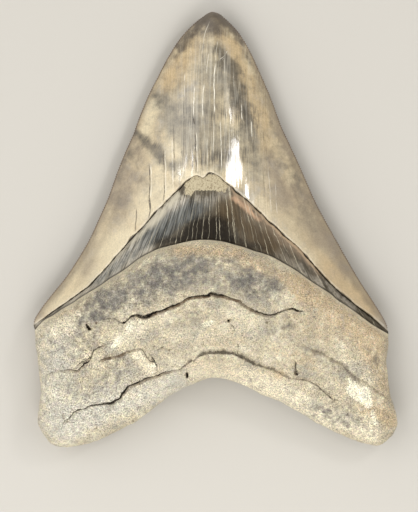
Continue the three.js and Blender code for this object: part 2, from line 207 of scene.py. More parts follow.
# Cracks of the root: half width and depth in mm where they are darkest, the darkness from
# 0 to 1 at some x along the way, painted as shade in the crack, and the line. Faint ones are soft,
# shallow grooves. Some have a brown slope under them, partly painted shade, also from 0 to 1 at some x.
rootCracks = {
    "upper": {
        "halfWidth": 0.14, "depth": 0.9,
        "slope": [(-23, 0), (-19, 0.7), (-16, 1), (3, 1), (11, 0.8), (14, 0.4), (17, 0)],
        "darkness": [
            (-29.2, 0.6), (-26, 0.65), (-24, 0.8), (-21, 0.7), (-18, 1), (-2, 1), (1.5, 0.8), (4, 0.45),
            (9, 0.35), (11.5, 0.8), (14, 1), (16, 0.8), (18, 0.35), (20, 0.8), (21.5, 0.9), (23, 0.4),
            (26, 0.15),
        ],
        "line": [
            (-29.2, -23.2), (-27.3, -23.3), (-26.3, -23.2), (-24.9, -24.1), (-23.7, -24.4),
            (-22.8, -23.7), (-21.7, -22.7), (-20.1, -22.5), (-18.5, -22.9), (-17.2, -22.4),
            (-15.6, -21.6), (-14, -21.2), (-12.1, -20.3), (-10, -19.5), (-8.3, -18.5), (-6.7, -17.7),
            (-4.5, -17.3), (-2.7, -17.3), (-1.3, -16.7), (0.3, -17), (2.1, -17.2), (3.5, -17.7),
            (5, -18.2), (6.1, -18.4), (7, -19.2), (8.5, -20.3), (10, -21.1), (12, -21.9), (14.1, -22.3),
            (15.5, -22), (17.3, -21.3), (18.5, -21), (19.9, -20.7), (21.8, -21.4), (23, -21.3),
            (26, -21.9),
        ],
    },
    "lowerLeft": {
        "halfWidth": 0.15, "depth": 0.8, "slope": [(-30, 0.2), (-24, 0.6), (-14, 0.8), (-9, 1)],
        "darkness": [(-40, 0.6), (-36, 0.6), (-31, 0.65), (-27.5, 0.8), (-26, 1), (-14, 1), (-10, 0.5)],
        "line": [
            (-40.2, -52.3), (-39.9, -51), (-39.2, -50), (-38.3, -49.5), (-37.3, -48.4), (-36.9, -47.8),
            (-35.8, -47.2), (-34, -46.8), (-33, -46.2), (-31.5, -45.9), (-30, -45.7), (-28.8, -45.5),
            (-27.3, -45.4), (-26.3, -44.8), (-25, -44.1), (-24.3, -42.9), (-23.4, -41.9), (-22.8, -41),
            (-21.5, -40.4), (-20.2, -39.9), (-19.3, -39.4), (-18, -38.7), (-16.5, -38.3), (-15, -38),
            (-13.8, -37.3), (-12.2, -36.9), (-10.5, -36.5), (-9, -36.3),
        ],
    },
    "lowerRight": {
        "halfWidth": 1.0, "depth": 0.9,
        "darkness": [
            (-9.5, 0.5), (-5, 0.48), (2, 0.56), (8, 0.54), (16, 0.46), (20, 0.3), (24, 0.3), (28, 0.24),
            (34, 0.16), (38, 0.1),
        ],
        "line": [
            (-9.5, -36.3), (-8, -35.6), (-7, -34.8), (-5.5, -34), (-4, -32.9), (-2.5, -32.3),
            (0, -32.2), (2.5, -32.2), (4.5, -32.5), (6, -33), (8, -34), (9.5, -35), (11.5, -35.6),
            (14, -36.2), (16, -37.1), (18, -38.3), (20, -38.9), (22.5, -39), (24.5, -39.5), (26, -40.4),
            (27.2, -41.3), (28.5, -42.6), (30, -43.8), (31.2, -44.8), (33, -45.3), (36, -46),
            (38, -47.8),
        ],
    },
    "leftLobe": {
        "halfWidth": 0.16, "depth": 0.6, "slope": [(-42, 0.3), (-36, 0.6), (-32, 0)],
        "darkness": [
            (-45, 0.5), (-40, 0.4), (-37, 0.5), (-35.5, 0.95), (-32.2, 0.95), (-31, 0.6), (-27, 0.45),
        ],
        "line": [
            (-45.3, -38.7), (-43.5, -37.9), (-42, -37), (-40, -36.9), (-38, -36.5), (-36, -36.8),
            (-35, -36), (-34, -35), (-33, -34.5), (-32.3, -33.4), (-31.8, -31.8), (-31, -31.2),
            (-30, -30.7), (-28.5, -30), (-27.2, -29.6),
        ],
    },
    "lobeSliver": {
        "halfWidth": 0.14, "depth": 0.4, "darkness": [(-36, 0.8)],
        "line": [(-36, -35.5), (-34.6, -34.6), (-33.2, -33.9), (-32.2, -32.8)],
    },
    "leftBranch": {
        "halfWidth": 0.13, "depth": 0.4, "slope": [(-31, 0), (-29, 1), (-22, 0.8), (-19, 0.3)],
        "darkness": [
            (-31, 0.75), (-29.4, 0.75), (-28, 0.45), (-24, 0.4), (-20.5, 0.55), (-18.5, 0.8), (-15, 1),
        ],
        "line": [
            (-30.8, -35), (-30, -34.2), (-29.2, -33.8), (-28, -33.4), (-25.5, -32.9), (-23.5, -32),
            (-22, -31.5), (-20.5, -31.2), (-19, -31.3), (-18.2, -32.5), (-17.5, -33.6), (-16.8, -34.3),
            (-15.9, -34.5), (-15.3, -35.3), (-15, -36.8),
        ],
    },
    "leftBranchEnd": {
        "halfWidth": 0.18, "depth": 0.4, "darkness": [(-17, 0.7)],
        "line": [(-16.9, -32.8), (-16.2, -33.6), (-15.7, -34.6), (-15.2, -35.6)],
    },
    "lowerRightCore": {
        "halfWidth": 0.2, "depth": 0.4,
        "darkness": [
            (-8, 0.5), (-5, 0.3), (1, 0.35), (6, 0.55), (10, 0.35), (13, 0.5), (18, 0.4), (24, 0.6),
            (30, 0.65), (33, 0.35), (38, 0.3),
        ],
        "line": [
            (-8.4, -36), (-6.4, -34.6), (-4, -33.2), (-1, -32.6), (2.5, -32.5), (5.4, -32.9),
            (7.8, -34.2), (10, -35.4), (13, -36.2), (16, -37.4), (19, -38.8), (22.5, -39.2), (25, -40),
            (27, -41.3), (29, -43.1), (31, -44.6), (33.4, -45), (36, -46), (37.8, -47.8),
        ],
    },
    "rightLobe": {
        "halfWidth": 0.8, "depth": 0.8,
        "darkness": [(20, 0.15), (24, 0.3), (27, 0.42), (31, 0.4), (35, 0.38), (39, 0.3), (45, 0.35)],
        "line": [
            (20.5, -29.3), (22.5, -30), (24, -31), (26, -31.8), (28, -32.6), (29.5, -33.4), (31, -34.4),
            (32.5, -35), (33.5, -36), (34.5, -37.2), (35.5, -38), (37, -39), (38.5, -39.7), (40, -40.6),
            (41.5, -42), (43, -42.8), (44.5, -44), (45.5, -45),
        ],
    },
    "rightSpur": {
        "halfWidth": 0.14, "depth": 0.4, "darkness": [(20.5, 0.5), (21, 0.7)],
        "line": [(20.5, -33.6), (20.8, -35.2), (20.7, -36), (21, -37.4), (21.4, -38.2)],
    },
    "middleSpur": {
        "halfWidth": 0.18, "depth": 0.3, "darkness": [(5, 0.5)],
        "line": [(5.8, -29.8), (5.9, -31), (5.6, -32.5)],
    },
    "foramenTail": {
        "halfWidth": 0.08, "depth": 0.2, "darkness": [(4, 0.7)],
        "line": [(3.6, -24.3), (4.4, -25), (4.8, -25.8), (5.1, -26.8)],
    },
    "hairline": {
        "halfWidth": 0.08, "depth": 0.2, "darkness": [(-3, 0.6)],
        "line": [(-3.3, -29), (-2.9, -30), (-2.3, -31.2)],
    },
    "lobeFork": {
        "halfWidth": 0.12, "depth": 0.3, "darkness": [(-40, 0.55)],
        "line": [(-40.1, -48.3), (-39.6, -49.3), (-39.2, -49.9)],
    },
    "flake": {
        "halfWidth": 0.2, "depth": 0.4, "darkness": [(-16, 0.35)],
        "line": [(-15.4, -31.6), (-13.8, -30.7), (-12, -31.2), (-10.7, -30.6)],
    },
}
# Cracks of the outer face, drawn the same way, their darkness painted as shade too
outerCracks = {
    "wide": {
        "halfWidth": 0.3, "depth": 0.9, "slope": [(0, 0.8)], "darkness": [(-30, 0.3), (-18, 0.9), (6, 1),
        (24, 0.4)],
        "line": [
            (-32, -33), (-24, -31), (-18, -29.5), (-10, -30), (-2, -28.6), (6, -29.4), (14, -30.8),
            (24, -34),
        ],
    },
    "leftLobe": {
        "halfWidth": 0.26, "depth": 0.7, "darkness": [(-42, 0.4), (-30, 0.8)],
        "line": [(-43, -44), (-37, -42.5), (-31, -43), (-26, -40.6), (-22, -38)],
    },
    "rightLobe": {
        "halfWidth": 0.26, "depth": 0.7, "darkness": [(24, 0.8), (43, 0.3)],
        "line": [(22, -36), (27, -38.4), (33, -39), (38, -42.5), (43, -45)],
    },
}
# a pit's darkness is painted shade in the hole
rootPits = [  # x, y, half width, half length, depth, darkness
    (3.35, -23.7, 0.45, 0.45, 1.4, 1), (-7.4, -38.1, 0.4, 0.75, 1.6, 1), (-33.5, -25, 0.28, 0.32, 0.6, 0.8),
    (-33.2, -25.5, 0.34, 0.36, 0.8, 0.8), (-32.8, -26, 0.3, 0.34, 0.8, 0.8),
    (-28, -33.4, 0.8, 0.45, 0.4, 0.5), (-13.7, -30.7, 0.35, 0.35, 0.4, 0.6),
    (-12, -31.4, 0.35, 0.25, 0.4, 0.5), (13.2, -24.2, 0.3, 0.25, 0.4, 0.4),
    (21, -37.4, 0.4, 0.5, 0.6, 0.65),
    (-45.2, -28, 0.4, 0.3, 0.4, 0.5), (-30.9, -24.5, 0.25, 0.25, 0.3, 0.5),
    (-36, -22.8, 0.3, 0.25, 0.3, 0.4),
    (-23.7, -24.3, 0.4, 0.3, 0.8, 0.9), (-1.8, -17.2, 0.4, 0.4, 0.9, 0.9),
    (-38.6, -50.3, 0.3, 0.25, 0.3, 0.5),
    (-31, -52, 0.3, 0.25, 0.3, 0.6), (-21.6, -50.2, 0.25, 0.3, 0.3, 0.6),
]

# Fine cracks of the inner enamel: how dark, half width in mm, and the line. A light line has a darkness
# under 0:
# some are chipped, whitish cracks, and those just beside a dark crack are painted highlights on its edge.
enamelCracks = [
    (1.0, 0.1, [(-17.3, 17), (-17.1, 12), (-17.3, 7), (-17.1, 4.6), (-17.5, 2.4)]),
    (1.0, 0.14, [(-17.2, 8.4), (-17, 5.4), (-17.4, 2.6)]),
    (0.9, 0.12, [(-13.7, 21.4), (-13.4, 15), (-13.3, 10), (-13.6, 6.5)]),
    (0.7, 0.1, [(-11, 27.5), (-10.8, 20), (-10.6, 10.4)]),
    (0.9, 0.12, [(-5.7, 29), (-5.5, 27.2)]),
    (0.9, 0.12, [(-5.3, 25.4), (-5.2, 20), (-5, 14)]),
    (0.5, 0.09, [(-8.4, 34), (-8.3, 25), (-8.2, 16)]),
    (0.6, 0.09, [(9.7, 23.4), (9.9, 18.4)]),
    (0.7, 0.11, [(-20.6, 5.4), (-20.8, 2), (-20.9, -0.8)]),
    (0.4, 0.08, [(12.4, 16), (12.9, 5)]),
    (0.4, 0.08, [(2.6, 24.4), (2.7, 17)]),
    (-0.4, 0.08, [(0.5, 49.4), (0.2, 46), (0, 43.6)]),
    (-1.0, 0.12, [(0, 43.6), (-0.2, 41.6), (-0.4, 38), (-0.3, 34), (-0.4, 29.6)]),
    (-0.55, 0.09, [(-0.4, 29), (-0.5, 24), (-0.7, 17.6)]),
    (-0.45, 0.08, [(-1.5, 54.6), (-2.3, 52.6), (-2.9, 50.4), (-3.3, 48.3), (-3.4, 45)]),
    (-0.9, 0.1, [(-3, 37.8), (-3.4, 33.6), (-3.3, 29)]),
    (-0.9, 0.1, [(-5.35, 37.2), (-5.65, 33.8), (-5.75, 31), (-5.65, 29.2)]),
    (-0.6, 0.1, [(-8, 40.4), (-8.1, 38.4)]),
    (-0.45, 0.09, [(-8.1, 38), (-8.1, 34.4)]),
    (-0.85, 0.1, [(1.2, 28.4), (1.35, 24), (1.5, 18.6), (1.5, 14.4)]),
    (-0.6, 0.08, [(3.2, 46.8), (2.5, 45.5), (1.6, 44.7), (0.9, 44.2)]),
    (-0.5, 0.09, [(2.3, 45), (2.3, 40.4)]),
    (-0.9, 0.12, [(6.8, 32.6), (6.9, 28.4)]),
    (-0.8, 0.12, [(9.4, 28.2), (9.5, 23.8)]),
    (-0.8, 0.11, [(3.7, 31.6), (3.75, 29.4)]),
    (-0.6, 0.1, [(-4.9, 25.4), (-4.8, 20), (-4.6, 14.4)]),
    (-0.7, 0.11, [(-16.85, 16.8), (-16.7, 12), (-16.9, 8)]),
    (-0.7, 0.1, [(-13.2, 20.4), (-13, 15), (-12.95, 9)]),
    (-0.6, 0.1, [(-11.3, 23.4), (-11.15, 12)]),
    (-0.45, 0.08, [(13.8, 16), (14.5, 4)]),
    (-0.4, 0.08, [(15.6, 12), (16, 3.5)]),
    (-0.5, 0.09, [(-1.8, 46), (-2.4, 40.5)]),
    (-0.55, 0.09, [(-2.2, 24), (-2.1, 16)]),
    (-0.5, 0.09, [(4.7, 41), (4.8, 37)]),
]

rootEdge = throughPoints(toothShape["rootEdge"])
leftRootSide = throughPoints(toothShape["leftRootSide"])
rightRootSide = throughPoints(toothShape["rightRootSide"])
leftCuttingEdge = throughPoints(toothShape["leftCuttingEdge"])
rightCuttingEdge = throughPoints(toothShape["rightCuttingEdge"])
tipLine = throughPoints(toothShape["tip"])
lipLine = throughPoints(toothShape["lip"])
enamelLine = throughPoints(toothShape["enamelEdge"])
outerEnamelLine = throughPoints(toothShape["outerEnamelEdge"])
outerFoldLine = throughPoints(toothShape["outerFold"])
leftShoulder = np.array([toothShape["lip"][0], toothShape["enamelEdge"][0]], float)
rightShoulder = np.array([toothShape["lip"][-1], toothShape["enamelEdge"][-1]], float)
outline = np.vstack([
    rootEdge, rightRootSide[1:], rightCuttingEdge, tipLine[::-1][1:],
    leftCuttingEdge[::-1][1:], leftRootSide[::-1],
])


def chords():  # where level lines across the tooth meet its outline
    levels = np.arange(-57, 57.01, 0.25)
    left, right = np.full(len(levels), np.inf), np.full(len(levels), -np.inf)
    for (ax, ay), (bx, by) in zip(outline[:-1], outline[1:]):
        if ay == by:
            continue
        hit = (levels - ay) * (levels - by) <= 0
        x = ax + (levels[hit] - ay) / (by - ay) * (bx - ax)
        left[hit], right[hit] = np.minimum(left[hit], x), np.maximum(right[hit], x)
    return levels, left, right


chordLevels, chordLeft, chordRight = chords()


def directions(line):  # which way a line runs at each of its points
    steps = np.gradient(line, axis=0)
    return steps / np.hypot(*steps.T)[:, None]


def offLine(places, ways, i, xy):  # distance in mm to the left of a line, below 0 on its right
    off = xy - places[i]
    return np.clip(ways[i, 0] * off[:, 1] - ways[i, 1] * off[:, 0], -3, 3)


def crackLine(crack, seed):  # ragged points along a crack, with direction, half width, depth and darkness
    line = throughPoints(crack["line"], 0.1)
    dark = np.interp(line[:, 0], *zip(*crack["darkness"]))
    ways = directions(line)
    share = np.linspace(0, 1, len(line))
    ends = np.minimum(1, 5 * np.minimum(share, 1 - share) + 0.3)
    along3d = np.column_stack([line, np.full(len(line), seed)])
    wobble = noiseAt(along3d, 1.1, 3, 2)
    line[:, 0] += toothShape["crackRoughness"] * noiseAt(along3d, 0.6, 7)
    line[:, 1] += toothShape["crackRoughness"] * noiseAt(along3d, 0.6, 8, 2)
    width = crack["halfWidth"] * ends * np.clip(0.45 + 0.55 * dark + 0.5 * wobble, 0.2, 1.5)
    tone = dark * np.clip(1 + 0.25 * wobble, 0, 1.1)
    slope = np.interp(line[:, 0], *zip(*crack.get("slope", [(0, 0)]))) * np.clip(1 + 0.4 * wobble, 0, 1.2)
    return line, ways, width, crack["depth"] * dark * ends, tone, slope * ends


def crackField(lines, xy):  # depth and marks around a family of cracks
    places, ways, widths, depths, darks, slopes = [np.concatenate(parts) for parts in zip(*lines)]
    i, gap = nearestPlace(places, xy)
    width, dark = widths[i], darks[i]
    below = smooth((places[i, 1] - xy[:, 1]) / (gap + 0.02))  # the lower side slopes, the upper is sharp
    reach = gap / (width * (1 + 0.35 * below))
    inside = smooth((1.3 - reach) / (0.45 + 0.2 * below + 0.6 * (1 - np.clip(dark, 0, 1))))
    slope = toothShape["slopeDepth"] * slopes[i] * below * np.clip(1 - gap / toothShape["slopeReach"], 0, 1)
    near = np.clip((width + 0.75 - gap) / 0.25, 0, 1)
    return np.maximum(depths[i] * inside, slope), {
        "rootCrack": dark * inside, "crackGap": gap - 1.3 * width * (1 + 0.8 * below),
        "crackSide": offLine(places, ways, i, xy), "crackHalf": width, "crackTone": dark * near,
        "crackSlope": slopes[i] * near}


rootLines = [crackLine(crack, seed) for seed, crack in enumerate(rootCracks.values())]
outerLines = [crackLine(crack, seed + 50) for seed, crack in enumerate(outerCracks.values())]


def enamelField(xy):  # where the enamel's fine cracks are, across them in half widths, and how strong
    marks = {"hairGap": np.full(len(xy), 9.0)}
    for name, sign in (("hairDark", 1), ("hairLight", -1)):
        chosen = [(tone, half, throughPoints(points, 0.1)) for tone, half, points in enamelCracks
                  if tone * sign > 0]
        places = np.vstack([line for _, _, line in chosen])
        ways = np.vstack([directions(line) for _, _, line in chosen])
        tones = np.concatenate([abs(tone) * np.minimum(1, np.linspace(0, 9, len(line)))
                                * np.minimum(1, np.linspace(9, 0, len(line))) for tone, _, line in chosen])
        halves = np.concatenate([np.full(len(line), half) for _, half, line in chosen])
        places[:, 0] += 0.12 * noiseAt(np.column_stack([places, places[:, :1] * 0]), 2.2, 4, 2)
        i, gap = nearestPlace(places, xy)
        marks[name + "Side"] = offLine(places, ways, i, xy) / halves[i]
        marks[name + "Tone"] = tones[i] * np.clip((0.65 - gap) / 0.25, 0, 1)
        marks["hairGap"] = np.minimum(marks["hairGap"], gap)
    return marks


def stretched(bottom, top, left, right, u, v):  # a place on a patch between four lines
    u1, v1 = u[:, None], v[:, None]
    acrossPart = pointsAt(left, v) * (1 - u1) + pointsAt(right, v) * u1
    upPart = pointsAt(bottom, u) * (1 - v1) + pointsAt(top, u) * v1
    corners = ((bottom[0] * (1 - u1) + bottom[-1] * u1) * (1 - v1)
               + (top[0] * (1 - u1) + top[-1] * u1) * v1)
    return acrossPart + upPart - corners


def placeOnPlan(u, v, inner):  # v runs 0..1 on the root, 1..2 on the neck, 2..3 on the crown
    xy = np.zeros((len(u), 2))
    for side, lower, upper in ((inner, lipLine, enamelLine), (~inner, outerEnamelLine, outerFoldLine)):
        zones = (
            (v < 1, 0, (rootEdge, lower, leftRootSide, rightRootSide)),
            ((v >= 1) & (v < 2), 1, (lower, upper, leftShoulder, rightShoulder)),
            (v >= 2, 2, (upper, tipLine, leftCuttingEdge, rightCuttingEdge)),
        )
        for zone, start, lines in zones:
            pick = side & zone
            if pick.any():
                xy[pick] = stretched(*lines, u[pick], v[pick] - start)
    return xy


def rootDome(x, y):  # the root's bulging top, without its rounded rim
    s = toothShape
    return s["lobeHeight"] + (s["swellingHeight"] - s["lobeHeight"]) * bell(x, y, s["swelling"])


def rimHeight(x, y):  # where the two faces meet: the cutting edge, or a line along the root's side
    crown = along(toothShape["cuttingEdgeHeight"], y)
    return crown + (0.45 * rootDome(x, y) - crown) * smooth((-27 - y) / 9)


def sideways(x, y):  # 0 in the middle of the tooth, 1 at its sides
    left, right = np.interp(y, chordLevels, chordLeft), np.interp(y, chordLevels, chordRight)
    return np.clip(np.abs((2 * x - left - right) / (right - left)), 0, 1)


def edgeGapHalf(xy, edgePlace):  # half width of the gap along the enamel's edge
    s = toothShape
    run = edgePlace * s["edgeWobbleLength"]  # the noise's length, a little more than the edge's 125 mm
    wobble = noiseAt(np.column_stack([run, run * 0, run * 0]), 1.8, 5, 3)
    half = s["edgeGapWidth"] + s["rightGapWider"] * smooth((xy[:, 0] - 1) / 3)
    half = half * np.clip(1 + 1.1 * wobble, 0.3, 2.4)
    for x, y, wider in s["edgeNotches"]:
        half = half + wider * np.exp(-((xy[:, 0] - x) ** 2) - (xy[:, 1] - y) ** 2)
    return half


def innerHeight(xy, v, inset):  # the face that lies up: its height, and the marks the looks need
    s = toothShape
    x, y = xy.T
    rim = rimHeight(x, y)
    crown = rim + along(s["crownRise"], y) * (1 - sideways(x, y) ** 2) ** 1.1
    fade = smooth(inset / s["stepFade"])
    lipGap, _ = nearestOn(lipLine, xy)
    edgeGap, edgePlace = nearestOn(enamelLine, xy)
    neckShare = np.clip(v - 1, 0, 1)
    neck = crown - fade * (s["enamelThickness"] + s["neckHollow"] * 4 * neckShare * (1 - neckShare))
    foot = crown - fade * (s["enamelThickness"] - s["lipStep"])
    body = rim + (rootDome(x, y) - rim) * quarterRound(inset, s["rootRounding"])
    root = foot + (body - foot) * quarterRound(lipGap, s["lipRounding"])
    neck = neck + (foot - neck) * (1 - smooth(lipGap / 0.4))
    z = np.where(v <= 1, root, np.where(v < 2, neck, crown))
    gapOpen = (1 - smooth(edgeGap / edgeGapHalf(xy, edgePlace) - 0.4)) * fade
    z = z - s["edgeGapDepth"] * gapOpen * (v > 1)
    depth, cracks = crackField(rootLines, xy)
    for px, py, halfX, halfY, pitDepth, pitDark in rootPits:
        reach = np.hypot((x - px) / halfX, (y - py) / halfY)
        inside = smooth((1.25 - reach) / 0.5)
        depth = np.maximum(depth, pitDepth * inside)
        # a pit is painted dark as its shade, darker than a crack
        cracks["rootCrack"] = np.maximum(cracks["rootCrack"], 1.5 * pitDark * inside)  # darker than cracks
        cracks["crackGap"] = np.minimum(cracks["crackGap"], (reach - 1.25) * min(halfX, halfY))
    z = z - depth * (v <= 1)
    cracks["rootCrack"] *= v <= 1
    return z, {"lipGap": lipGap, "edgeGap": edgeGap, "enamelGap": gapOpen, **cracks, **enamelField(xy)}


def outerHeight(xy, v, inset):  # the same for the nearly flat face that lies down
    s = toothShape
    x, y = xy.T
    rim = rimHeight(x, y)
    foot = s["lobeFootDepth"] * bell(np.abs(x), y, s["lobeFoot"])
    face = along(s["outerFaceHeight"], y) - foot
    lens = 1 - sideways(x, y) ** 2.4
    toRoot = smooth((-19 - y) / 14)
    share = lens + (quarterRound(inset, s["rootRounding"]) - lens) * toRoot
    step = s["outerEnamelStep"] * smooth(inset / s["stepFade"]) * (1 - toRoot) * (v <= 1)
    depth, cracks = crackField(outerLines, xy)
    cracks["rootCrack"] *= v <= 1
    edgeGap, _ = nearestOn(outerEnamelLine, xy)
    return rim - (rim - face) * share + step + depth * (v <= 1), {
        "enamelGap": 0.7 * (1 - smooth(edgeGap / 0.35)), **cracks}


def surface(uvs):  # from places on the two grids to millimetres, with what the looks need
    u, v, side = uvs.T
    inner = side >= 0
    xy = placeOnPlan(u, v, inner)
    inset, _ = nearestOn(outline, xy)
    inset[side == 0] = 0
    z = np.zeros(len(u))
    marks = {name: np.full(len(u), 9.0) for name in ("lipGap", "edgeGap", "hairGap")}
    for name in ("enamelGap", "hairDarkSide", "hairDarkTone", "hairLightSide", "hairLightTone"):
        marks[name] = np.zeros(len(u))
    for pick, height in ((inner, innerHeight), (~inner, outerHeight)):
        z[pick], found = height(xy[pick], v[pick], inset[pick])
        for name, values in found.items():
            marks.setdefault(name, np.zeros(len(u)))[pick] = values
    marks["inset"] = inset
    return np.column_stack([xy, z]), marks


def meshSize(uvs, marks):  # how far apart the points may stand, in mm
    _, v, side = uvs.T
    apart, inset, inner = toothShape["apart"], marks["inset"], side > 0
    innerSize = np.where(v <= 1, apart["root"], np.where(v < 2, apart["neck"], apart["crown"]))
    size = np.where(side >= 0, innerSize, np.where(v <= 1, apart["outerRoot"], apart["outerCrown"]))
    # smaller by cracks, the enamel's edge, the root's lip, the fine cracks and the cutting edges
    nearCrack = (marks["crackGap"] < 0.3) & (v <= 1.001)
    size = np.where(nearCrack, np.where(inner, apart["crack"], apart["outerCrack"]), size)
    nearEnamelEdge = (marks["edgeGap"] < 0.45) & (v > 1.5) & inner & (inset > 0.4)
    size = np.where(nearEnamelEdge, apart["enamelEdge"], size)
    size = np.where((marks["lipGap"] < 0.8) & (v > 0.9) & (v < 1.2) & inner, apart["lip"], size)
    size = np.where((marks["hairGap"] < 0.5) & (v >= 2) & inner, apart["fineCrack"], size)
    return np.where((inset < 0.35) & (v >= 2), apart["cuttingEdge"], size)


def crowded(share, amount):  # even steps drawn closer together at both ends
    return share - amount / (2 * math.pi) * np.sin(2 * math.pi * share)


def twoSheets():  # a bmesh whose points are (column, row, side) shares, closed at the rim
    s = toothShape
    rows = s["rootRows"] + s["neckRows"] + s["crownRows"]
    rowPlaces = np.concatenate([
        crowded(np.linspace(0, 1, s["rootRows"], endpoint=False), 0.65),
        1 + np.linspace(0, 1, s["neckRows"], endpoint=False),
        2 + crowded(np.linspace(0, 1, s["crownRows"] + 1), 0.3),
    ])
    bm = bmesh.new()
    for side in (1, -1):
        made = bmesh.ops.create_grid(bm, x_segments=s["columns"], y_segments=rows, size=0.5)
        for vert in made["verts"]:
            i = round((vert.co.x + 0.5) * s["columns"])
            j = round((vert.co.y + 0.5) * rows)
            onRim = i in (0, s["columns"]) or j in (0, rows)
            vert.co = (crowded(i / s["columns"], 0.72), rowPlaces[j], 0 if onRim else side)
    bmesh.ops.remove_doubles(bm, verts=bm.verts, dist=1e-6)
    bmesh.ops.recalc_face_normals(bm, faces=bm.faces)
    return bm


def refine(bm):  # halves the edges that are too long for what is near them
    uvs = np.array([vert.co[:] for vert in bm.verts])
    places, marks = surface(uvs)
    sizes = meshSize(uvs, marks)
    bm.verts.index_update()
    edges = list(bm.edges)
    ends = np.array([(e.verts[0].index, e.verts[1].index) for e in edges])
    lengths = np.linalg.norm(places[ends[:, 0]] - places[ends[:, 1]], axis=1)
    chosen = [edges[i] for i in np.flatnonzero(lengths > 1.4 * sizes[ends].min(axis=1))]
    bmesh.ops.subdivide_edges(bm, edges=chosen, cuts=1, use_grid_fill=True)


def serrated(places, uvs, marks):  # fine saw teeth along both cutting edges
    s = toothShape
    onCrown = (uvs[:, 1] > 2) & (marks["inset"] < s["serratedEdge"])
    moved = places.copy()
    for line, isRight in ((leftCuttingEdge, False), (rightCuttingEdge, True)):
        pick = np.flatnonzero(onCrown & ((uvs[:, 0] > 0.5) == isRight))
        gap, share = nearestOn(line, places[pick, :2])
        run = share * 0.2 * (len(line) - 1)  # the edge's points are 0.2 mm apart
        notch = np.abs(np.sin(math.pi * run / s["serrationPitch"])) ** 1.5
        depth = s["serrationDepth"] * (1 - notch) * (1 - smooth(gap / s["serratedEdge"]))
        moved[pick, 0] += (-1 if isRight else 1) * depth * 0.9  # inwards, about square to the edge
        moved[pick, 1] -= depth * 0.4
    return moved


def weathered(mesh, places, uvs, marks):  # the root's uneven skin, moved along the normals
    normals = np.zeros(len(places) * 3)
    mesh.vertices.foreach_get("normal", normals)
    onRoot = smooth((1.0 - uvs[:, 1]) * 12) * np.clip(marks["lipGap"] / 1.5, 0, 1)
    lumps = sum(height * noiseAt(places, size, seed, 2)
                for seed, (size, height) in enumerate(toothShape["rootLumps"], 1))
    return places + normals.reshape(-1, 3) * (onRoot * lumps)[:, None]


def setPlaces(mesh, places):  # nothing reaches below what the tooth lies on
    places[:, 2] = np.maximum(places[:, 2], 0)
    mesh.vertices.foreach_set("co", (places * mm).ravel())
    mesh.update()


def buildTooth():
    bm = twoSheets()
    for _ in range(toothShape["rounds"]):
        refine(bm)
        print("tooth refined to", len(bm.verts), "points")
    bmesh.ops.triangulate(bm, faces=[f for f in bm.faces if len(f.verts) > 4])
    uvs = np.array([vert.co[:] for vert in bm.verts])
    rows = np.array([np.mean([vert.co.y for vert in f.verts]) for f in bm.faces])
    sides = np.array([np.mean([vert.co.z for vert in f.verts]) for f in bm.faces])
    mesh = bpy.data.meshes.new("toothSurface")
    bm.to_mesh(mesh)
    bm.free()
    places, marks = surface(uvs)
    places = serrated(places, uvs, marks)
    setPlaces(mesh, places)
    places = weathered(mesh, places, uvs, marks)
    setPlaces(mesh, places)
    # materials: 0 enamel, 1 neck band, 2 root
    finish = np.where(rows <= 1, 2, np.where((rows < 2) & (sides >= 0), 1, 0))
    mesh.polygons.foreach_set("material_index", finish.astype(np.int32))
    mesh.polygons.foreach_set("use_smooth", np.ones(len(finish), bool))
    print("tooth mesh has", len(mesh.vertices), "points and", len(mesh.polygons), "faces")
    return mesh, places, uvs, marks


toothMesh, toothPlaces, toothUvs, toothMarks = buildTooth()


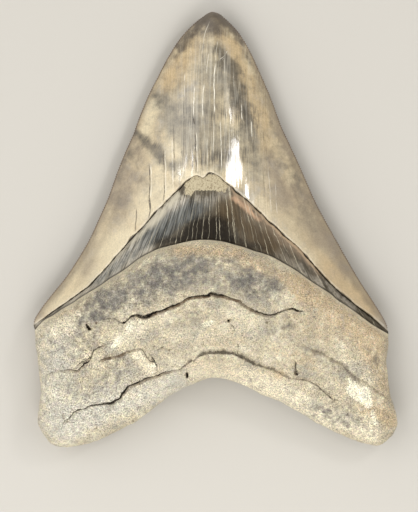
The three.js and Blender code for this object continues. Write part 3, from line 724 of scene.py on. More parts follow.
# Strokes of colour on the inner face: from x, y to x, y, half width, strength
enamelStains = {
    "enamelWarm": [
        (0.4, 51.5, 4.6, 47.5, 1.4, 0.8), (4.6, 47.5, 8.4, 38, 1.7, 1.0), (8.4, 38, 11.4, 29, 1.9, 1.0),
        (11.4, 29, 12.6, 21, 2.2, 0.8), (-5, 49.5, -11.5, 39.5, 2.6, 1.0),
        (-12.5, 40, -12.4, 37, 1.3, 0.7), (17, 12, 21, 7, 1.6, 0.5), (30, -12.5, 41, -21, 3.2, 1.0),
        (24, -2, 31, -11, 1.8, 0.5), (-39, -17, -31, -8, 2, 0.4), (-24, 4, -19, -1, 1.6, 0.5),
    ],
    "enamelCream": [
        (-18.2, 26.4, -15.6, 32.8, 1.8, 1.0), (-9.5, 14.2, 8, 14.6, 1.3, 1.0),
        (-31, -10, -12, 10.4, 1.4, 0.9), (-40, -19, -26, -4, 3.4, 1.0), (10, 8, 26, -8, 1.2, 0.5),
        (-14.4, 19, -16, 9, 2.4, 0.7), (-23, 3, -18, 9, 2.4, 0.6), (-10, 22, -9.6, 14, 1.2, 0.5),
        (3.5, 27, 6.5, 24, 1.8, 0.6), (-12, 25, -11, 20, 1.6, 0.5), (8.8, 38, 12.6, 22, 1.2, 0.6),
        (-14, 41.6, -9.6, 46.6, 1, 0.4),
    ],
    "enamelTaupe": [
        (-26, 9, -22.5, 20, 2.6, 0.7), (-25.4, 3, -24, 11, 3.2, 0.7), (-20, 13, -15.5, 8, 2.4, 0.4),
        (20.5, 10, 27, -2, 3.2, 0.8), (15.5, 30, 19.5, 20, 1.8, 0.8), (14, 18, 17, 7, 2.2, 0.9),
        (-34, -11, -30, -2, 1.5, 0.6), (29, -3, 34, -12, 1.8, 0.7), (-19, 19, -21.5, 24, 1.6, 0.6),
        (-21, -8, -27, -12, 1.2, 0.3), (-36, -14, -33, -9, 1.2, 0.4), (-9, 44, -9, 34, 1.2, 0.4),
    ],
    "enamelGrey": [
        (-4, 26, 1, 21, 5.6, 0.9), (-3.5, 51, -2.5, 33, 3.2, 0.6), (1, 41, 5, 34, 3, 0.7),
        (-14.4, 34, -9.5, 26, 2.4, 0.8), (9, 27, 11, 14, 2.2, 0.7), (-9, 36, -8, 30, 2.4, 0.5),
        (3, 22, 8, 27, 2, 0.3), (-9.5, 16, -6, 24, 1.8, 0.5),
    ],
    "enamelDark": [
        (0.6, 47, 2.4, 45, 1.1, 0.8), (2.4, 44.6, 5, 41.6, 1.4, 1.0), (5.6, 37, 8, 29, 1.8, 1.0),
        (4, 42, 6, 36, 1.6, 0.6), (-22, 25.8, -18.4, 23, 0.9, 1.0), (-18.4, 23, -15.2, 19.8, 1.0, 1.0),
        (-15.2, 19.8, -11.6, 16.2, 1.3, 0.85), (-16.8, 36.6, -14.4, 33, 1.1, 0.55),
        (-13.6, 34.4, -8, 27, 1.8, 0.35), (-5.4, 30.4, -4.6, 27.6, 1.5, 0.5),
        (-3, 31.6, 2.4, 30.4, 1.4, 0.35), (20.6, 14, 22.2, 9, 1.3, 0.5),
        (-25.4, 13.6, -22.6, 21, 1, 0.5), (-19, 13.4, -17.2, 11, 1.5, 0.35),
        (-27, 3, -24.6, 9, 1.5, 0.4), (23, 5, 25.6, 0, 1.6, 0.4), (-7, 18.4, 2.8, 18.8, 1.6, 0.6),
        (5, 34, 8.6, 28, 2, 0.3),
    ],
    "enamelDashed": [  # dark only in its upright streaks
        (-7.4, 18.4, 3, 18.8, 2.2, 1.0), (5, 34, 8.6, 28, 2.4, 1.0), (8, 31, 9.4, 25, 1.6, 0.8),
        (6, 18, 9, 23, 1.3, 0.6), (0.4, 46, 3.4, 42, 1.8, 0.5), (-4, 31, 2.6, 28, 2.4, 0.5),
        (-4.6, 50, -1.4, 47, 1.6, 0.4),
    ],
    "enamelTip": [
        (-1.2, 57.4, 0.4, 54.6, 2.6, 1.0), (-3.6, 55, -9, 47.8, 1.3, 1.0),
        (3.2, 54.6, 6.6, 49.4, 1.1, 0.7), (-9, 47.8, -10.6, 45, 0.8, 0.7),
        (-1, 55, -1, 51.4, 2.6, 0.45), (6.6, 49.4, 9, 44.6, 0.6, 0.5),
    ],
}
rootStains = {
    "rootWarm": [
        (-10, -5.8, 6, -5.8, 1.6, 1.0), (8, -8.6, 22, -14.5, 2, 0.9), (23, -16, 41, -29, 3.6, 1.0),
        (40, -30, 44, -41, 2.4, 0.8), (-1, -28.6, 6, -28.2, 1.6, 0.6), (-6, -36, 17, -38.6, 1.6, 1.0),
        (16, -32, 25, -34.6, 2, 0.6), (23, -42, 31, -47, 1.4, 0.5), (-41, -23, -33, -19, 1.3, 0.5),
        (28, -50, 38, -54.5, 2, 0.5), (40, -46, 46, -50, 2.4, 1.0), (20, -24, 28, -28, 2.4, 0.5),
    ],
    "rootGrey": [
        (-31, -20.4, -13, -12.4, 4.2, 1.0), (-14, -10, -4, -10, 2.4, 0.5),
        (-12, -13.4, 12, -14, 3, 0.7), (10, -15, 14.5, -15.6, 2.8, 1.0),
        (-28, -37.4, -22, -35.4, 2.4, 0.5), (13.5, -26, 20, -25, 1.8, 0.6),
        (-40, -31.5, -34, -29, 2.8, 0.5), (-31, -41.5, -26, -39, 1.8, 0.3),
        (26, -46, 35, -50, 2.8, 0.75), (-35, -24, -30, -21.6, 1.5, 0.6), (-6, -8.2, 8, -8.6, 1.6, 0.45),
        (41, -32, 42.4, -35, 1.2, 0.7), (24, -31.6, 37, -39, 1.2, 0.4),
        (-44.5, -34, -43, -29, 1.4, 0.5), (-12, -25, -5, -23.6, 1.6, 0.4),
        (-38, -44, -32, -43, 2, 0.35), (35, -36, 38, -37.6, 1, 0.4),
    ],
    "rootCream": [
        (-25, -28.4, -20, -26.4, 1.9, 1.0), (-42, -27.4, -37, -25, 2, 0.8),
        (-20.5, -33, -16.4, -36.8, 1.5, 1.0), (-13, -27.4, 12, -26.6, 2, 0.5),
        (10, -40, 30, -49.4, 3.2, 1.0), (14, -41.6, 40, -54, 1.6, 1.0),
        (-6, -37.6, 12, -39.6, 1.6, 1.0), (-9, -4.4, 9, -5.6, 0.5, 0.3), (2, -21.4, 12, -24, 1.5, 0.5),
        (33, -35, 40.5, -39.5, 1.4, 0.6), (-34, -33, -30, -36.6, 1.2, 0.5),
        (38, -53, 42, -53, 1.6, 0.4), (-22, -24.6, -14, -24, 1.1, 0.6), (-6, -35, 8, -37, 1.2, 0.5),
    ],
    "rootPale": [  # the left lobe is paler and cooler
        (-42, -30, -42, -50, 5, 0.8), (-38, -52, -10, -40, 3.4, 0.9), (-34, -46, -24, -38, 3, 0.5),
    ],
    "rootRough": [  # grainier and more mottled
        (-40, -30, -22, -38, 8, 1.0), (-42, -45, -28, -48, 7, 1.0), (30, -46, 42, -50, 6, 1.0),
        (-32, -21, -14, -15, 4.5, 1.0), (8, -40, 30, -49, 3.5, 0.8), (-10, -6, 9, -7, 2.4, 0.7),
        (36, -34, 42, -40, 4, 1.0), (8, -15, 15, -16, 3, 0.7),
    ],
}
neckStains = {
    "neckPale": [
        (-46, -24.6, -34, -16.6, 1.6, 1.0), (-34, -16, -18.5, -4.6, 2.4, 1.0),
        (-16, 1.6, -9, 7.4, 1.6, 0.8), (-4, 7, 2, 8.6, 1.6, 0.5), (3, 6.4, 12, 0, 1.2, 0.4),
        (16, -6, 36, -20.6, 1.4, 0.45),
    ],
    "neckBlue": [(-16, -0.6, -7, 4.6, 2.8, 1.0), (-30, -13, -16, -1.6, 2, 0.8), (-6, 4, 0, 8, 2, 0.5)],
    "neckBrown": [(3, 4, 13, -3, 2.8, 1.0), (13, -4, 20, -8, 1.8, 0.5), (1, 8, 5, 5, 1.6, 0.5)],
    "neckTan": [(5, 8, 16, -1, 2.2, 0.8), (16, -1, 27, -10.6, 1.4, 1.0)],
    "neckDark": [
        (-6, -1.8, 1.5, -2.2, 2.2, 1.0), (-4, 0.6, 0, 0.4, 2.4, 0.9), (3, -2.8, 12, -5.4, 1.2, 0.6),
        (-15, -3.8, -7, -2.4, 1.2, 0.7), (-1, 3, 4, 1.6, 2, 0.4),
    ],
}
# Crisp patches: their strength is their half width, so a shader finds their edge in mm
crispPatches = {
    "rootChalk": [
        (35.6, -41.6, 38.4, -44.2, 1.5), (38.8, -42.4, 39.6, -45.4, 1.3),
        (34.8, -39.5, 35.2, -40.6, 0.5), (40.9, -48, 41.6, -51, 0.4), (-26.6, -30.6, -24.6, -28.4, 0.6),
        (-22.6, -26.2, -21.6, -24.6, 0.5), (-16.4, -36, -15.8, -35, 0.4), (32, -18.7, 32.7, -19.1, 0.3),
        (-3, -24.6, -1, -24.2, 0.4),
    ],
    "neckCrustAndGlint": [
        (-7.5, 12.4, -7.4, 9.1, 0.6), (-6.4, 12.4, -6.4, 9.1, 0.6), (-5.5, 12, 1.5, 12, 2.1),
        # the last stroke below is a painted highlight: a small white glint on the neck
        (0.9, 11.4, 0.9, 9.9, 0.65), (2.2, 11, 2.2, 9.9, 0.65), (5.9, 7, 8, 5.3, 0.16),
    ],
    "neckLight": [  # thin crust that fades into the ribs
        (-9.8, 8.6, -12, 6.4, 0.9), (-13.6, 4.6, -17, 1, 0.9), (-17, 1, -22, -3.6, 0.5),
        (-22, -3.6, -28, -9.4, 0.3),
    ],
    "neckRust": [(5, 8, 8.4, 4.9, 0.8), (8.4, 4.9, 11.4, 2.2, 0.4)],
}
# The thin, greyer enamel along the cutting edges, wider on the right: y and its width
enamelBands = {
    "left": [(-25, 1.6), (-10, 2.3), (10, 1.8), (25, 1.3), (45, 1.3), (55, 1.4)],
    "right": [(-25, 1.8), (-10, 3.2), (10, 2.9), (25, 2.4), (45, 2.2), (55, 1.6)],
}
# Where the blade is streaked: half its width, and the y where streaks start, are full, fade and end
streakedBlade = {"halfWidth": 11, "start": -8, "full": 6, "fade": 44, "end": 54}
ribsMeet = 38.0  # the neck's ribs fan out from this y, above the enamel's peak


def gapToStroke(stroke, xy):  # distance in mm to the straight line between a stroke's two places
    start, end = np.array(stroke[0:2], float), np.array(stroke[2:4], float)
    run = end - start
    t = np.clip((xy - start) @ run / (run @ run), 0, 1)
    return np.hypot(*(xy - start - t[:, None] * run).T)


def softStrength(strokes, xy):  # blurred strokes, added up
    return np.clip(sum(s[5] * np.exp(-((gapToStroke(s, xy) / s[4]) ** 2) * 0.7) for s in strokes), 0, 1)


def crispDepth(strokes, xy):  # how far inside the nearest stroke's edge, in mm
    return np.max([s[4] - gapToStroke(s, xy) for s in strokes], axis=0)


def edgeBand(xy, inset):  # soft on its inner side
    left, right = [np.interp(xy[:, 1], *zip(*enamelBands[side])) for side in ("left", "right")]
    return np.clip((np.where(xy[:, 0] < 0, left, right) - inset) / 2 + 0.35, 0, 1)


def markTooth():  # what the materials read, on each point of the mesh
    values = {name: toothMarks[name] for name in toothMarks if name not in ("crackGap", "hairGap")}
    inner = toothUvs[:, 2] >= 0
    x, y, _ = toothPlaces.T
    wander = [noiseAt(toothPlaces, 4.5, seed, 3) * 0.8 for seed in (11, 12)]
    xy = np.column_stack([x + wander[0], y + wander[1]])
    xy = np.where(inner[:, None], xy, xy * (-0.93, 1) + (0, 2))  # the outer face has them mirrored
    for stains in (enamelStains, rootStains, neckStains):
        for name, strokes in stains.items():
            values[name] = softStrength(strokes, xy)
    steady = np.column_stack([x, y])
    for name, strokes in crispPatches.items():
        values[name] = np.where(inner, crispDepth(strokes, steady), -9)
    values["edgeBand"] = edgeBand(xy, toothMarks["inset"] + noiseAt(toothPlaces, 2.4, 13, 2) * 0.5)
    s = streakedBlade
    rise, fall = (y - s["start"]) / (s["full"] - s["start"]), (y - s["fade"]) / (s["end"] - s["fade"])
    values["streaked"] = np.exp(-((x / s["halfWidth"]) ** 4)) * smooth(rise) * (1 - smooth(fall))
    values["fan"] = ribsMeet * np.arctan2(x, ribsMeet - y)
    values["fanReach"] = np.hypot(x, ribsMeet - y)
    for name, numbers in values.items():
        attribute = toothMesh.attributes.new(name, "FLOAT", "POINT")
        attribute.data.foreach_set("value", numbers.astype(np.float32))


markTooth()
print("tooth marked for its materials")


def linear(hexColour):  # sRGB hex to the linear colour that a shader takes
    parts = [int(hexColour[i:i + 2], 16) / 255 for i in (1, 3, 5)]
    return (*[c / 12.92 if c <= 0.04045 else ((c + 0.055) / 1.055) ** 2.4 for c in parts], 1)


def addNode(tree, kind, *values, out=None, stops=(), **settings):
    # its values and links go to its sockets in their order, or by name from a dictionary
    made = tree.nodes.new("ShaderNode" + kind)
    for name, value in settings.items():
        setattr(made, name, value)
    sockets = [s for s in made.inputs if s.enabled]
    if values and isinstance(values[0], dict):
        sockets = [next(s for s in sockets if s.name == name) for name in values[0]]
        values = values[0].values()
    for socket, value in zip(sockets, values):
        if isinstance(value, bpy.types.NodeSocket):
            tree.links.new(value, socket)
        else:
            socket.default_value = linear(value) if isinstance(value, str) else value
    while stops and len(made.color_ramp.elements) < len(stops):
        made.color_ramp.elements.new(0.5)
    for i, (place, colour) in enumerate(stops):
        made.color_ramp.elements[i].position = place
        made.color_ramp.elements[i].color = linear(colour)
    return made.outputs[out] if out else next((s for s in made.outputs if s.enabled), None)


def newMaterial(name, *marks):
    # the material, a shorter addNode for it, object places in millimetres, and the marks it reads
    material = bpy.data.materials.new(name)
    material.use_nodes = True
    material.node_tree.nodes.clear()
    add = partial(addNode, material.node_tree)
    inMm = add("VectorMath", add("TexCoord", out="Object"), 1000.0, operation="SCALE")
    mark = {each: add("Attribute", attribute_name=each, out="Fac") for each in marks}
    return material, add, inMm, mark


def layered(add, colour, layers, ragged):  # each layer: mark, tint, strength, where it starts and is full
    for name, tint, strength, start, full in layers:
        amount = add("Math", add("Attribute", attribute_name=name, out="Fac"), ragged, operation="ADD")
        amount = add("MapRange", amount, start, full, 0.0, strength, interpolation_type="SMOOTHSTEP")
        colour = add("Mix", amount, colour, tint, data_type="RGBA")
    return colour


enameloidLook = {
    "tan": "#BCAB8B", "paleTan": "#CBBB9A", "greyTan": "#A99F8D", "cream": "#D8CAA9", "warm": "#C0A67C",
    "taupe": "#918370", "grey": "#868072", "dark": "#565046", "tip": "#544A3F", "edge": "#776956",
    # the last tint here is the pale of chipped cracks and of painted highlights on crack and enamel edges
    "edgeLine": "#57412F", "crack": "#382D20", "chippedAndGlint": "#F6EFDC",
    "roughness": 0.035, "flankRoughness": 0.28, "ior": 1.62, "relief": 0.0002,
    # lumps for each millimetre: clouds 6 mm and 2 mm across, flecks 0.4 mm; streaks 0.5 mm wide
    # and 12 mm long, with threads of half that between them; and a facet every 0.9 mm
    "clouds": 0.17, "veil": 0.45, "flecks": 2.4, "streaks": (1.7, 0.08, 0.3), "threads": 2.3, "facets": 1.1,
}


def fossilEnameloid():
    # Fossil enameloid, polished in the ground: hard, dense and glossy, with cloudy mineral
    # stains under the surface and fine upright drying cracks that streak its sheen.
    look = enameloidLook
    material, add, inMm, mark = newMaterial(
        "fossilEnameloid", "streaked", "hairLightSide", "hairLightTone", "hairDarkSide", "hairDarkTone",
        "enamelGap", "edgeGap", "inset")
    streaked = mark["streaked"]
    clouds = add("TexNoise", {"Vector": inMm, "Scale": look["clouds"], "Detail": 4.0, "Roughness": 0.6})
    veil = add("TexNoise", {"Vector": inMm, "Scale": look["veil"], "Detail": 5.0, "Roughness": 0.62})
    upright = add("VectorMath", inMm, look["streaks"], operation="MULTIPLY")
    streaks = add("TexNoise", {"Vector": upright, "Scale": 1.0, "Detail": 4.0, "Roughness": 0.7})
    threads = add("TexNoise", {"Vector": upright, "Scale": look["threads"], "Detail": 2.0, "Roughness": 0.6})
    stripes = add("Math", add("Math", streaks, threads, operation="ADD"), 1.0, operation="SUBTRACT")
    stripesHere = add("Math", stripes, streaked, operation="MULTIPLY")
    # low down, at the blade's two sides, the stains are calm and soft
    onBlade = add("SeparateXYZ", inMm, out="Y")
    calm = add("MapRange", onBlade, -4.0, 14.0, 0.12, 0.44)
    cloudy = add("Math", add("Math", veil, 0.5, operation="SUBTRACT"), calm, operation="MULTIPLY")
    ragged = add("Math", cloudy, 2.4, operation="MULTIPLY")
    ragged = add("Math", stripesHere, -0.45, ragged, operation="MULTIPLY_ADD")
    dashes = add("Math", stripes, -2.6, ragged, operation="MULTIPLY_ADD")
    tans = ((0.34, look["greyTan"]), (0.48, look["tan"]), (0.64, look["paleTan"]))
    colour = add("ValToRGB", clouds, stops=tans)
    colour = layered(add, colour, (
        ("enamelCream", look["cream"], 0.8, 0.0, 1.1), ("enamelWarm", look["warm"], 0.65, 0.0, 1.1),
        ("edgeBand", look["edge"], 0.7, 0.0, 1.2), ("enamelTaupe", look["taupe"], 0.75, 0.0, 1.2),
        ("enamelGrey", look["grey"], 0.8, -0.05, 1.15), ("enamelDark", look["dark"], 0.9, -0.05, 1.3),
        ("enamelTip", look["tip"], 0.9, 0.0, 1.1),
    ), ragged)
    colour = layered(add, colour, (("enamelDashed", look["dark"], 0.5, 0.5, 1.3),), dashes)
    # streaks are strong on the middle of the blade and hardly there at its sides
    depth = add("MapRange", streaked, 0.0, 1.0, 0.1, 0.3)
    shade = add("Math", stripes, depth, 1.0, operation="MULTIPLY_ADD")
    mottle = add("Math", cloudy, -1.3, 1.0, operation="MULTIPLY_ADD")
    shade = add("Math", shade, mottle, operation="MULTIPLY")
    flecks = add("TexNoise", {"Vector": inMm, "Scale": look["flecks"], "Detail": 3.0, "Roughness": 0.8})
    flecks = add("MapRange", flecks, 0.3, 0.7, 0.84, 1.16)
    shade = add("Math", shade, flecks, operation="MULTIPLY")
    colour = add("VectorMath", colour, shade, operation="SCALE")
    # fine light lines, wherever a stretched noise passes its middle; they fade along their length
    tall = add("VectorMath", inMm, (0.8, 0.022, 0.1), operation="MULTIPLY")
    tall = add("TexNoise", {"Vector": tall, "Scale": 1.0, "Detail": 1.0})
    offMiddle = add("Math", add("Math", tall, 0.5, operation="SUBTRACT"), operation="ABSOLUTE")
    lines = add("MapRange", offMiddle, 0.045, 0.012, 0.0, 0.16)
    lines = add("Math", lines, streaked, operation="MULTIPLY")
    breaks = add("VectorMath", inMm, (0.7, 0.3, 0.0), operation="MULTIPLY")
    breaks = add("TexNoise", {"Vector": breaks, "Scale": 1.0, "Detail": 4.0, "Roughness": 0.7})
    breaks = add("MapRange", breaks, 0.38, 0.55, 0.25)
    cracks = {}
    for name in ("hairLight", "hairDark"):
        across = add("Math", mark[name + "Side"], operation="ABSOLUTE")
        inside = add("MapRange", across, 1.4, 0.8)
        inside = add("Math", inside, mark[name + "Tone"], operation="MULTIPLY")
        cracks[name] = add("Math", inside, breaks, operation="MULTIPLY")
    # pale lines: chipped cracks and fine threads, and beside some dark cracks a painted highlight on the
    # crack's edge
    light = add("Math", cracks["hairLight"], lines, operation="MAXIMUM")
    gap = add("MapRange", mark["enamelGap"], 0.4, 1.0, 0.0, 0.95)
    # a pale rim just above the enamel's edge: partly chipping, partly a painted highlight on the edge
    rim = add("MapRange", mark["edgeGap"], 0.7, 0.25, 0.0, 0.35)
    rim = add("Math", rim, breaks, operation="MULTIPLY")
    thin = add("MapRange", mark["inset"], 0.5, 0.1, 0.0, 0.65)
    for amount, tint in ((thin, "edgeLine"), (rim, "chippedAndGlint"), (light, "chippedAndGlint"),
                         (cracks["hairDark"], "crack"), (gap, "crack")):
        colour = add("Mix", amount, colour, look[tint], data_type="RGBA")
    # the surface is cut into upright facets, each tilted its own way
    sway = add("TexNoise", {"Vector": inMm, "Scale": 0.12, "Detail": 1.0})
    place = add("Math", add("SeparateXYZ", inMm, out="X"), look["facets"], sway, operation="MULTIPLY_ADD")
    cell = add("TexVoronoi", {"W": place, "Scale": 1.0}, voronoi_dimensions="1D").node
    tilt = add("CombineXYZ", add("Math", cell.outputs["W"], 5.3, operation="MULTIPLY"),
               add("Math", onBlade, 0.05, operation="MULTIPLY"))
    tilt = add("TexNoise", {"Vector": tilt, "Scale": 1.0, "Detail": 0.0}, noise_dimensions="2D")
    tilt = add("Math", tilt, 0.5, operation="SUBTRACT")
    facet = add("Math", add("Math", place, cell.outputs["W"], operation="SUBTRACT"), tilt,
                operation="MULTIPLY")
    flatter = add("MapRange", onBlade, 24.0, 30.0, 1.0, 0.25)
    facet = add("Math", facet, add("Math", flatter, streaked, operation="MULTIPLY"), operation="MULTIPLY")
    # the sheen is broken too: smooth facets shine, worn ones don't
    dull = add("MapRange", stripes, -0.03, 0.1, 0.0, 0.12)
    flanks = add("MapRange", streaked, 0.05, 0.6, look["flankRoughness"], look["roughness"])
    roughness = add("Math", dull, flanks, operation="ADD")
    relief = add("Math", veil, 0.03, add("Math", stripesHere, 0.1, operation="MULTIPLY"),
                 operation="MULTIPLY_ADD")
    relief = add("Math", facet, 3.6, relief, operation="MULTIPLY_ADD")
    relief = add("Math", cracks["hairDark"], -0.5, relief, operation="MULTIPLY_ADD")
    normal = add("Bump", {"Strength": 0.6, "Distance": look["relief"], "Height": relief})
    finish = add("BsdfPrincipled", {
        "Base Color": colour, "Roughness": roughness, "IOR": look["ior"], "Normal": normal})
    add("OutputMaterial", {"Surface": finish})
    return material


neckLook = {
    "base": "#5C5446", "pale": "#C6BEAE", "blue": "#5A5D5C", "brown": "#54452F", "dark": "#1C150B",
    "tan": "#857460", "rust": "#C4A283", "crust": "#BCB093", "crustShade": "#85765D", "light": "#BDB5A1",
    "rim": "#AE977B", "ridge": "#D2C8AE", "crack": "#33291C",
    "roughness": 0.42, "crustRoughness": 0.75, "ior": 1.5, "gloss": 0.18, "relief": 0.0002,
    # lumps for each millimetre: streaks 0.6 mm apart and over 10 mm long, with finer ones between,
    # a mottle of 1 mm, crumbs of 0.4 mm in the crust, and a rib every 1.4 mm
    "streaks": (1.4, 0.08, 0.0), "fineStreaks": 2.3, "mottle": 0.9, "crumbs": 2.6, "ribs": 0.72,
}


def fossilNeckBand():
    # The neck's thin mineral-stained skin: satin and dark, with fine pale ribs that fan out to
    # the root, and a chalky crust left under the enamel's peak.
    look = neckLook
    material, add, inMm, mark = newMaterial(
        "fossilNeckBand", "fan", "fanReach", "neckBlue", "neckTan", "neckLight", "neckCrustAndGlint", "edgeGap",
        "enamelGap", "lipGap")
    fan = add("CombineXYZ", mark["fan"], mark["fanReach"])
    broad = add("VectorMath", fan, look["streaks"], operation="MULTIPLY")
    streaks = add("TexNoise", {"Vector": broad, "Scale": 1.0, "Detail": 4.0, "Roughness": 0.65})
    fine = add("TexNoise", {"Vector": broad, "Scale": look["fineStreaks"], "Detail": 2.0, "Roughness": 0.6})
    mottle = add("TexNoise", {"Vector": inMm, "Scale": look["mottle"], "Detail": 5.0, "Roughness": 0.7})
    ragged = add("MapRange", mottle, 0.3, 0.7, -0.25, 0.25)
    streaky = add("Math", ragged, 0.6, operation="SUBTRACT")
    streaky = add("Math", streaks, 1.2, streaky, operation="MULTIPLY_ADD")
    colour = layered(add, look["base"], (
        ("neckPale", look["pale"], 0.9, 0.05, 1.0), ("neckTan", look["tan"], 0.8, 0.1, 1.1),
        ("neckBlue", look["blue"], 0.8, 0.1, 1.1), ("neckBrown", look["brown"], 0.85, 0.1, 1.0),
        ("neckDark", look["dark"], 0.95, 0.05, 1.0), ("neckRust", look["rust"], 0.8, -0.5, 0.6),
    ), streaky)
    # the left half has stronger streaks and fainter ribs
    shade = add("Math", add("Math", streaks, fine, operation="ADD"), 1.0, operation="SUBTRACT")
    blue = mark["neckBlue"]
    gain = add("MapRange", blue, 0.1, 0.7, 1.4, 4.0)
    shade = add("Math", shade, gain, 1.0, operation="MULTIPLY_ADD")
    shade = add("Math", shade, 0.35, operation="MAXIMUM")
    colour = add("VectorMath", colour, shade, operation="SCALE")
    light = add("Math", streaky, mark["neckLight"], operation="ADD")
    light = add("MapRange", light, -0.5, 0.6, 0.0, 0.85)
    colour = add("Mix", light, colour, look["light"], data_type="RGBA")
    # thin ribs, some strong and some faint, that waver and fade along their length
    bends = add("VectorMath", fan, (0.5, 0.3, 0.0), operation="MULTIPLY")
    bends = add("TexNoise", {"Vector": bends, "Scale": 1.0, "Detail": 3.0, "Roughness": 0.6})
    place = add("Math", bends, 1.2, mark["fan"], operation="MULTIPLY_ADD")
    cell = add("TexVoronoi", {"W": place, "Scale": look["ribs"]}, voronoi_dimensions="1D").node
    wide = add("MapRange", streaks, 0.35, 0.65, 0.035, 0.085)
    rib = add("Math", wide, cell.outputs["Distance"], operation="SUBTRACT")
    rib = add("Math", rib, 22.0, operation="MULTIPLY", use_clamp=True)
    fades = add("CombineXYZ", add("Math", cell.outputs["W"], 3.7, operation="MULTIPLY"),
                add("Math", mark["fanReach"], 0.22, operation="MULTIPLY"))
    fades = add("TexNoise", {"Vector": fades, "Scale": 1.0, "Detail": 3.0, "Roughness": 0.7},
                noise_dimensions="2D")
    fades = add("MapRange", fades, 0.36, 0.6, 0.1, 0.85)
    rib = add("Math", rib, fades, operation="MULTIPLY")
    soft = add("MapRange", blue, 0.1, 0.7, 1.0, 0.5)
    rib = add("Math", rib, soft, operation="MULTIPLY")
    colour = add("Mix", rib, colour, look["ridge"], data_type="RGBA")
    # the chalky crust; its patches also hold one small painted highlight, drawn in the crust's colours
    crumbs = add("TexNoise", {"Vector": inMm, "Scale": look["crumbs"], "Detail": 3.0, "Roughness": 0.7})
    crustTint = add("ValToRGB", crumbs, stops=((0.36, look["crustShade"]), (0.52, look["crust"])))
    crust = add("Math", crumbs, 0.5, operation="SUBTRACT")
    crust = add("Math", crust, 1.1, mark["neckCrustAndGlint"], operation="MULTIPLY_ADD")
    crust = add("MapRange", crust, -0.04, 0.14)
    colour = add("Mix", crust, colour, crustTint, data_type="RGBA")
    # a ragged tan rim under the enamel's right edge
    rim = add("Math", ragged, 1.4, mark["edgeGap"], operation="MULTIPLY_ADD")
    rim = add("MapRange", rim, 1.0, 0.6, 0.0, 0.85)
    rim = add("Math", rim, mark["neckTan"], operation="MULTIPLY")
    colour = add("Mix", rim, colour, look["rim"], data_type="RGBA")
    gap = add("MapRange", mark["enamelGap"], 0.4, 1.0, 0.0, 0.95)
    colour = add("Mix", gap, colour, look["crack"], data_type="RGBA")
    # painted shade in the crease under the root's lip
    underLipShade = add("MapRange", mark["lipGap"], 0.5, 0.15, 0.0, 0.7)
    colour = add("Mix", underLipShade, colour, look["dark"], data_type="RGBA")
    roughness = add("MapRange", crust, 0.0, 1.0, look["roughness"], look["crustRoughness"])
    height = add("Math", crust, 0.7, streaks, operation="MULTIPLY_ADD")
    height = add("Math", fine, 0.4, height, operation="MULTIPLY_ADD")
    height = add("Math", rib, 0.5, height, operation="MULTIPLY_ADD")
    normal = add("Bump", {"Strength": 0.5, "Distance": look["relief"], "Height": height})
    finish = add("BsdfPrincipled", {
        "Base Color": colour, "Roughness": roughness, "IOR": look["ior"],
        "Specular IOR Level": look["gloss"], "Normal": normal})
    add("OutputMaterial", {"Surface": finish})
    return material


rootLook = {
    "base": "#CBBEA1", "pale": "#DCD2B8", "greyBase": "#B0A896", "grey": "#726F6A", "cream": "#F1E6CA",
    # the crack tint is the black of painted shade in cracks and pits; the rust tint is the brown of their
    # mouths and slopes, partly painted shade
    "coolPale": "#DAD6C8", "chalk": "#FAF4DA", "warm": "#CFAE80", "pore": "#655A4A", "crack": "#17110A",
    "rust": "#6E5D48", "roughness": 0.85, "ior": 1.5, "gloss": 0.35, "relief": 0.0008,
    # lumps for each millimetre: clouds of 5 mm, a mottle of 2 mm, and bone grain of 0.1 mm with
    # pores of 0.15 mm, both drawn 0.3 mm across so that they show
    "clouds": 0.2, "mottle": 0.5, "grain": 3.4, "pores": 1.7, "poreCrowds": 0.3,
}


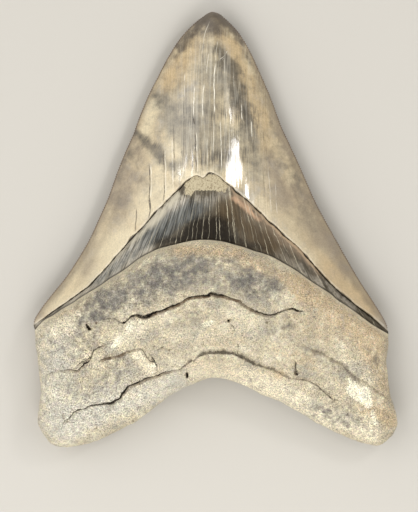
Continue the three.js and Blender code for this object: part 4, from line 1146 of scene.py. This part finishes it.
def fossilRoot():
    # The root's fossil bone, weathered and porous: matte and grainy, buff with blue-grey
    # mineral stains and chalky pale spots, with painted shade in its cracks and pits and a painted highlight
    # on its lip.
    look = rootLook
    material, add, inMm, mark = newMaterial(
        "fossilRoot", "rootRough", "rootCrack", "crackSide", "crackHalf", "crackTone", "crackSlope",
        "lipGap")
    clouds = add("TexNoise", {"Vector": inMm, "Scale": look["clouds"], "Detail": 5.0, "Roughness": 0.65})
    mottle = add("TexNoise", {"Vector": inMm, "Scale": look["mottle"], "Detail": 6.0, "Roughness": 0.75})
    grains = add("TexNoise", {"Vector": inMm, "Scale": look["grain"], "Detail": 1.0, "Roughness": 0.6})
    pores = add("TexVoronoi", {"Vector": inMm, "Scale": look["pores"]}).node
    crowds = add("TexNoise", {"Vector": inMm, "Scale": look["poreCrowds"], "Detail": 3.0, "Roughness": 0.6})
    offGrain = add("Math", grains, 0.5, operation="SUBTRACT")
    coarse = add("MapRange", mottle, 0.3, 0.7, -0.7, 0.7)
    ragged = add("Math", grains, 1.2, coarse, operation="MULTIPLY_ADD")
    ragged = add("Math", ragged, 0.6, operation="SUBTRACT")
    buffs = ((0.38, look["greyBase"]), (0.5, look["base"]), (0.62, look["pale"]))
    colour = layered(add, add("ValToRGB", clouds, stops=buffs), (
        ("rootWarm", look["warm"], 0.6, 0.0, 1.3), ("rootPale", look["coolPale"], 0.8, 0.0, 1.2),
        ("rootCream", look["cream"], 0.85, 0.0, 1.1), ("rootGrey", look["grey"], 0.95, 0.05, 1.5),
        ("rootChalk", look["chalk"], 0.95, -0.45, 0.35),
    ), ragged)
    # the grain's own hues wander a little towards blue, rust and green
    hues = add("TexNoise", {"Vector": inMm, "Scale": 1.0, "Detail": 4.0, "Roughness": 0.8}, out="Color")
    hues = add("VectorMath", hues, (0.3, 0.3, 0.4), (0.85, 0.85, 0.8), operation="MULTIPLY_ADD")
    colour = add("VectorMath", colour, hues, operation="MULTIPLY")
    blotchy = add("MapRange", mark["rootRough"], 0.0, 1.0, -1.1, -1.8)
    gritty = add("MapRange", mark["rootRough"], 0.0, 1.0, 1.7, 2.6)
    shade = add("Math", mottle, 0.5, operation="SUBTRACT")
    shade = add("Math", shade, blotchy, 1.0, operation="MULTIPLY_ADD")
    grit = add("Math", offGrain, gritty, 1.0, operation="MULTIPLY_ADD")
    shade = add("Math", shade, grit, operation="MULTIPLY")
    # a crack: brown in its mouth and on the slope under it, partly an earthy stain and partly painted shade,
    # and black painted shade along a jagged core
    cracks, side, half, tone = (mark[name] for name in ("rootCrack", "crackSide", "crackHalf", "crackTone"))
    above = add("MapRange", add("Math", side, half, operation="SUBTRACT"), 0.14, -0.04)
    stainedAndShaded = add("Math", ragged, 0.3, cracks, operation="MULTIPLY_ADD")
    stainedAndShaded = add("MapRange", stainedAndShaded, 0.05, 0.8, 0.0, 0.6)
    stainedAndShaded = add("Math", stainedAndShaded, above, operation="MULTIPLY")
    slope = add("Math", ragged, 0.7, side, operation="MULTIPLY_ADD")
    slope = add("MapRange", slope, -0.95, -0.75, 0.0, 0.95)
    under = add("MapRange", side, 0.15, 0.0)
    slope = add("Math", slope, under, operation="MULTIPLY")
    slope = add("Math", slope, mark["crackSlope"], operation="MULTIPLY", use_clamp=True)
    stainedAndShaded = add("Math", stainedAndShaded, slope, operation="MAXIMUM")
    colour = add("Mix", stainedAndShaded, colour, look["rust"], data_type="RGBA")
    colour = add("VectorMath", colour, shade, operation="SCALE")
    chance = add("MapRange", crowds, 0.4, 0.65, 0.15, 0.5)
    kept = add("Math", pores.outputs["Color"], chance, operation="LESS_THAN")
    specks = add("MapRange", pores.outputs["Distance"], 0.36, 0.22, 0.0, 0.5)
    specks = add("Math", specks, kept, operation="MULTIPLY")
    colour = add("Mix", specks, colour, look["pore"], data_type="RGBA")
    jagged = add("Math", offGrain, 0.8, side, operation="MULTIPLY_ADD")
    jagged = add("Math", jagged, operation="ABSOLUTE")
    shadedCore = add("Math", add("Math", half, tone, operation="MULTIPLY"), jagged, operation="SUBTRACT")
    shadedCore = add("MapRange", shadedCore, -0.06, 0.06)
    reach = add("MapRange", tone, 0.2, 0.75, 0.0, 0.95)
    shadedCore = add("Math", shadedCore, reach, operation="MULTIPLY")
    deepShade = add("MapRange", cracks, 0.9, 1.3, 0.0, 0.95)
    shadedCore = add("Math", shadedCore, deepShade, operation="MAXIMUM")
    colour = add("Mix", shadedCore, colour, look["crack"], data_type="RGBA")
    # painted highlight: a pale line along the top edge of the root's lip
    lip = add("MapRange", mark["lipGap"], 0.9, 0.2, 0.0, 0.45)
    colour = add("Mix", lip, colour, look["cream"], data_type="RGBA")
    relief = add("Math", grains, 0.5, mottle, operation="MULTIPLY_ADD")
    relief = add("Math", specks, -0.4, relief, operation="MULTIPLY_ADD")
    normal = add("Bump", {"Strength": 1.0, "Distance": look["relief"], "Height": relief})
    finish = add("BsdfPrincipled", {
        "Base Color": colour, "Roughness": look["roughness"], "IOR": look["ior"],
        "Specular IOR Level": look["gloss"], "Normal": normal})
    add("OutputMaterial", {"Surface": finish})
    return material


def finishTooth():
    for material in (fossilEnameloid(), fossilNeckBand(), fossilRoot()):
        toothMesh.materials.append(material)
    tooth = bpy.data.objects.new("toothFinished", toothMesh)
    bpy.context.scene.collection.objects.link(tooth)
    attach(tooth, "root")
    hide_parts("tooth")


finishTooth()
print("tooth finished")

stageLook = {
    "floor": "#C4C0B8", "floorRoughness": 0.9, "floorSize": 1.6, "worldColour": "#F6F4F0",
    "worldStrength": 0.45,
    # the camera looks straight down; its picture's long side spans frameHeight at the height frameAt
    "cameraX": -0.00171, "cameraY": -0.00709, "cameraZ": 0.8, "frameHeight": 0.13407, "frameAt": 0.008,
}
studioLights = {  # place, width and length in metres, power in watts
    "topSoftbox": ((-0.2, 0.5, 0.4), 0.7, 0.5, 0.7),
    "frontSoftbox": ((-0.05, -0.46, 0.4), 0.6, 0.3, 2.2),
    "rightSoftbox": ((0.5, -0.02, 0.4), 0.6, 0.6, 1.3),
    "rightStrip": ((0.29, 0.2, 0.36), 0.075, 0.068, 0.3),
    "leftStrip": ((-0.288, 0.182, 0.36), 0.05, 0.014, 0.02),
    "leftSoftbox": ((-0.45, 0.02, 0.4), 0.7, 0.7, 2.2),
}


def setStage():
    look = stageLook
    scene = bpy.context.scene
    bm = bmesh.new()
    bmesh.ops.create_grid(bm, x_segments=1, y_segments=1, size=look["floorSize"])
    floorMesh = bpy.data.meshes.new("floor")
    bm.to_mesh(floorMesh)
    bm.free()
    floor = bpy.data.objects.new("floor", floorMesh)
    scene.collection.objects.link(floor)
    material, add, _, _ = newMaterial("paleFloor")
    paper = add("BsdfPrincipled", {"Base Color": look["floor"], "Roughness": look["floorRoughness"]})
    add("OutputMaterial", {"Surface": paper})
    floorMesh.materials.append(material)

    world = bpy.data.worlds.new("paleRoom")
    scene.world = world
    world.use_nodes = True
    world.node_tree.nodes.clear()
    air = addNode(world.node_tree, "Background", {
        "Color": look["worldColour"], "Strength": look["worldStrength"]})
    addNode(world.node_tree, "OutputWorld", {"Surface": air})

    for name, (place, width, length, power) in studioLights.items():
        lamp = bpy.data.lights.new(name, "AREA")
        lamp.shape, lamp.size, lamp.size_y, lamp.energy = "RECTANGLE", width, length, power
        holder = bpy.data.objects.new(name, lamp)
        holder.location = place
        away = Vector(place).normalized()  # its width runs across the picture, its length up it
        across = Vector((0, 1, 0)).cross(away).normalized()
        holder.rotation_euler = Matrix((across, away.cross(across), away)).transposed().to_euler()
        scene.collection.objects.link(holder)

    camera = bpy.data.cameras.new("camera")
    camera.lens = camera.sensor_width * (look["cameraZ"] - look["frameAt"]) / look["frameHeight"]
    camera.clip_start, camera.clip_end = 0.01, 10
    holder = bpy.data.objects.new("camera", camera)
    holder.location = (look["cameraX"], look["cameraY"], look["cameraZ"])
    scene.collection.objects.link(holder)
    scene.camera = holder
    scene.view_settings.view_transform = "Standard"
    print("stage set")


setStage()
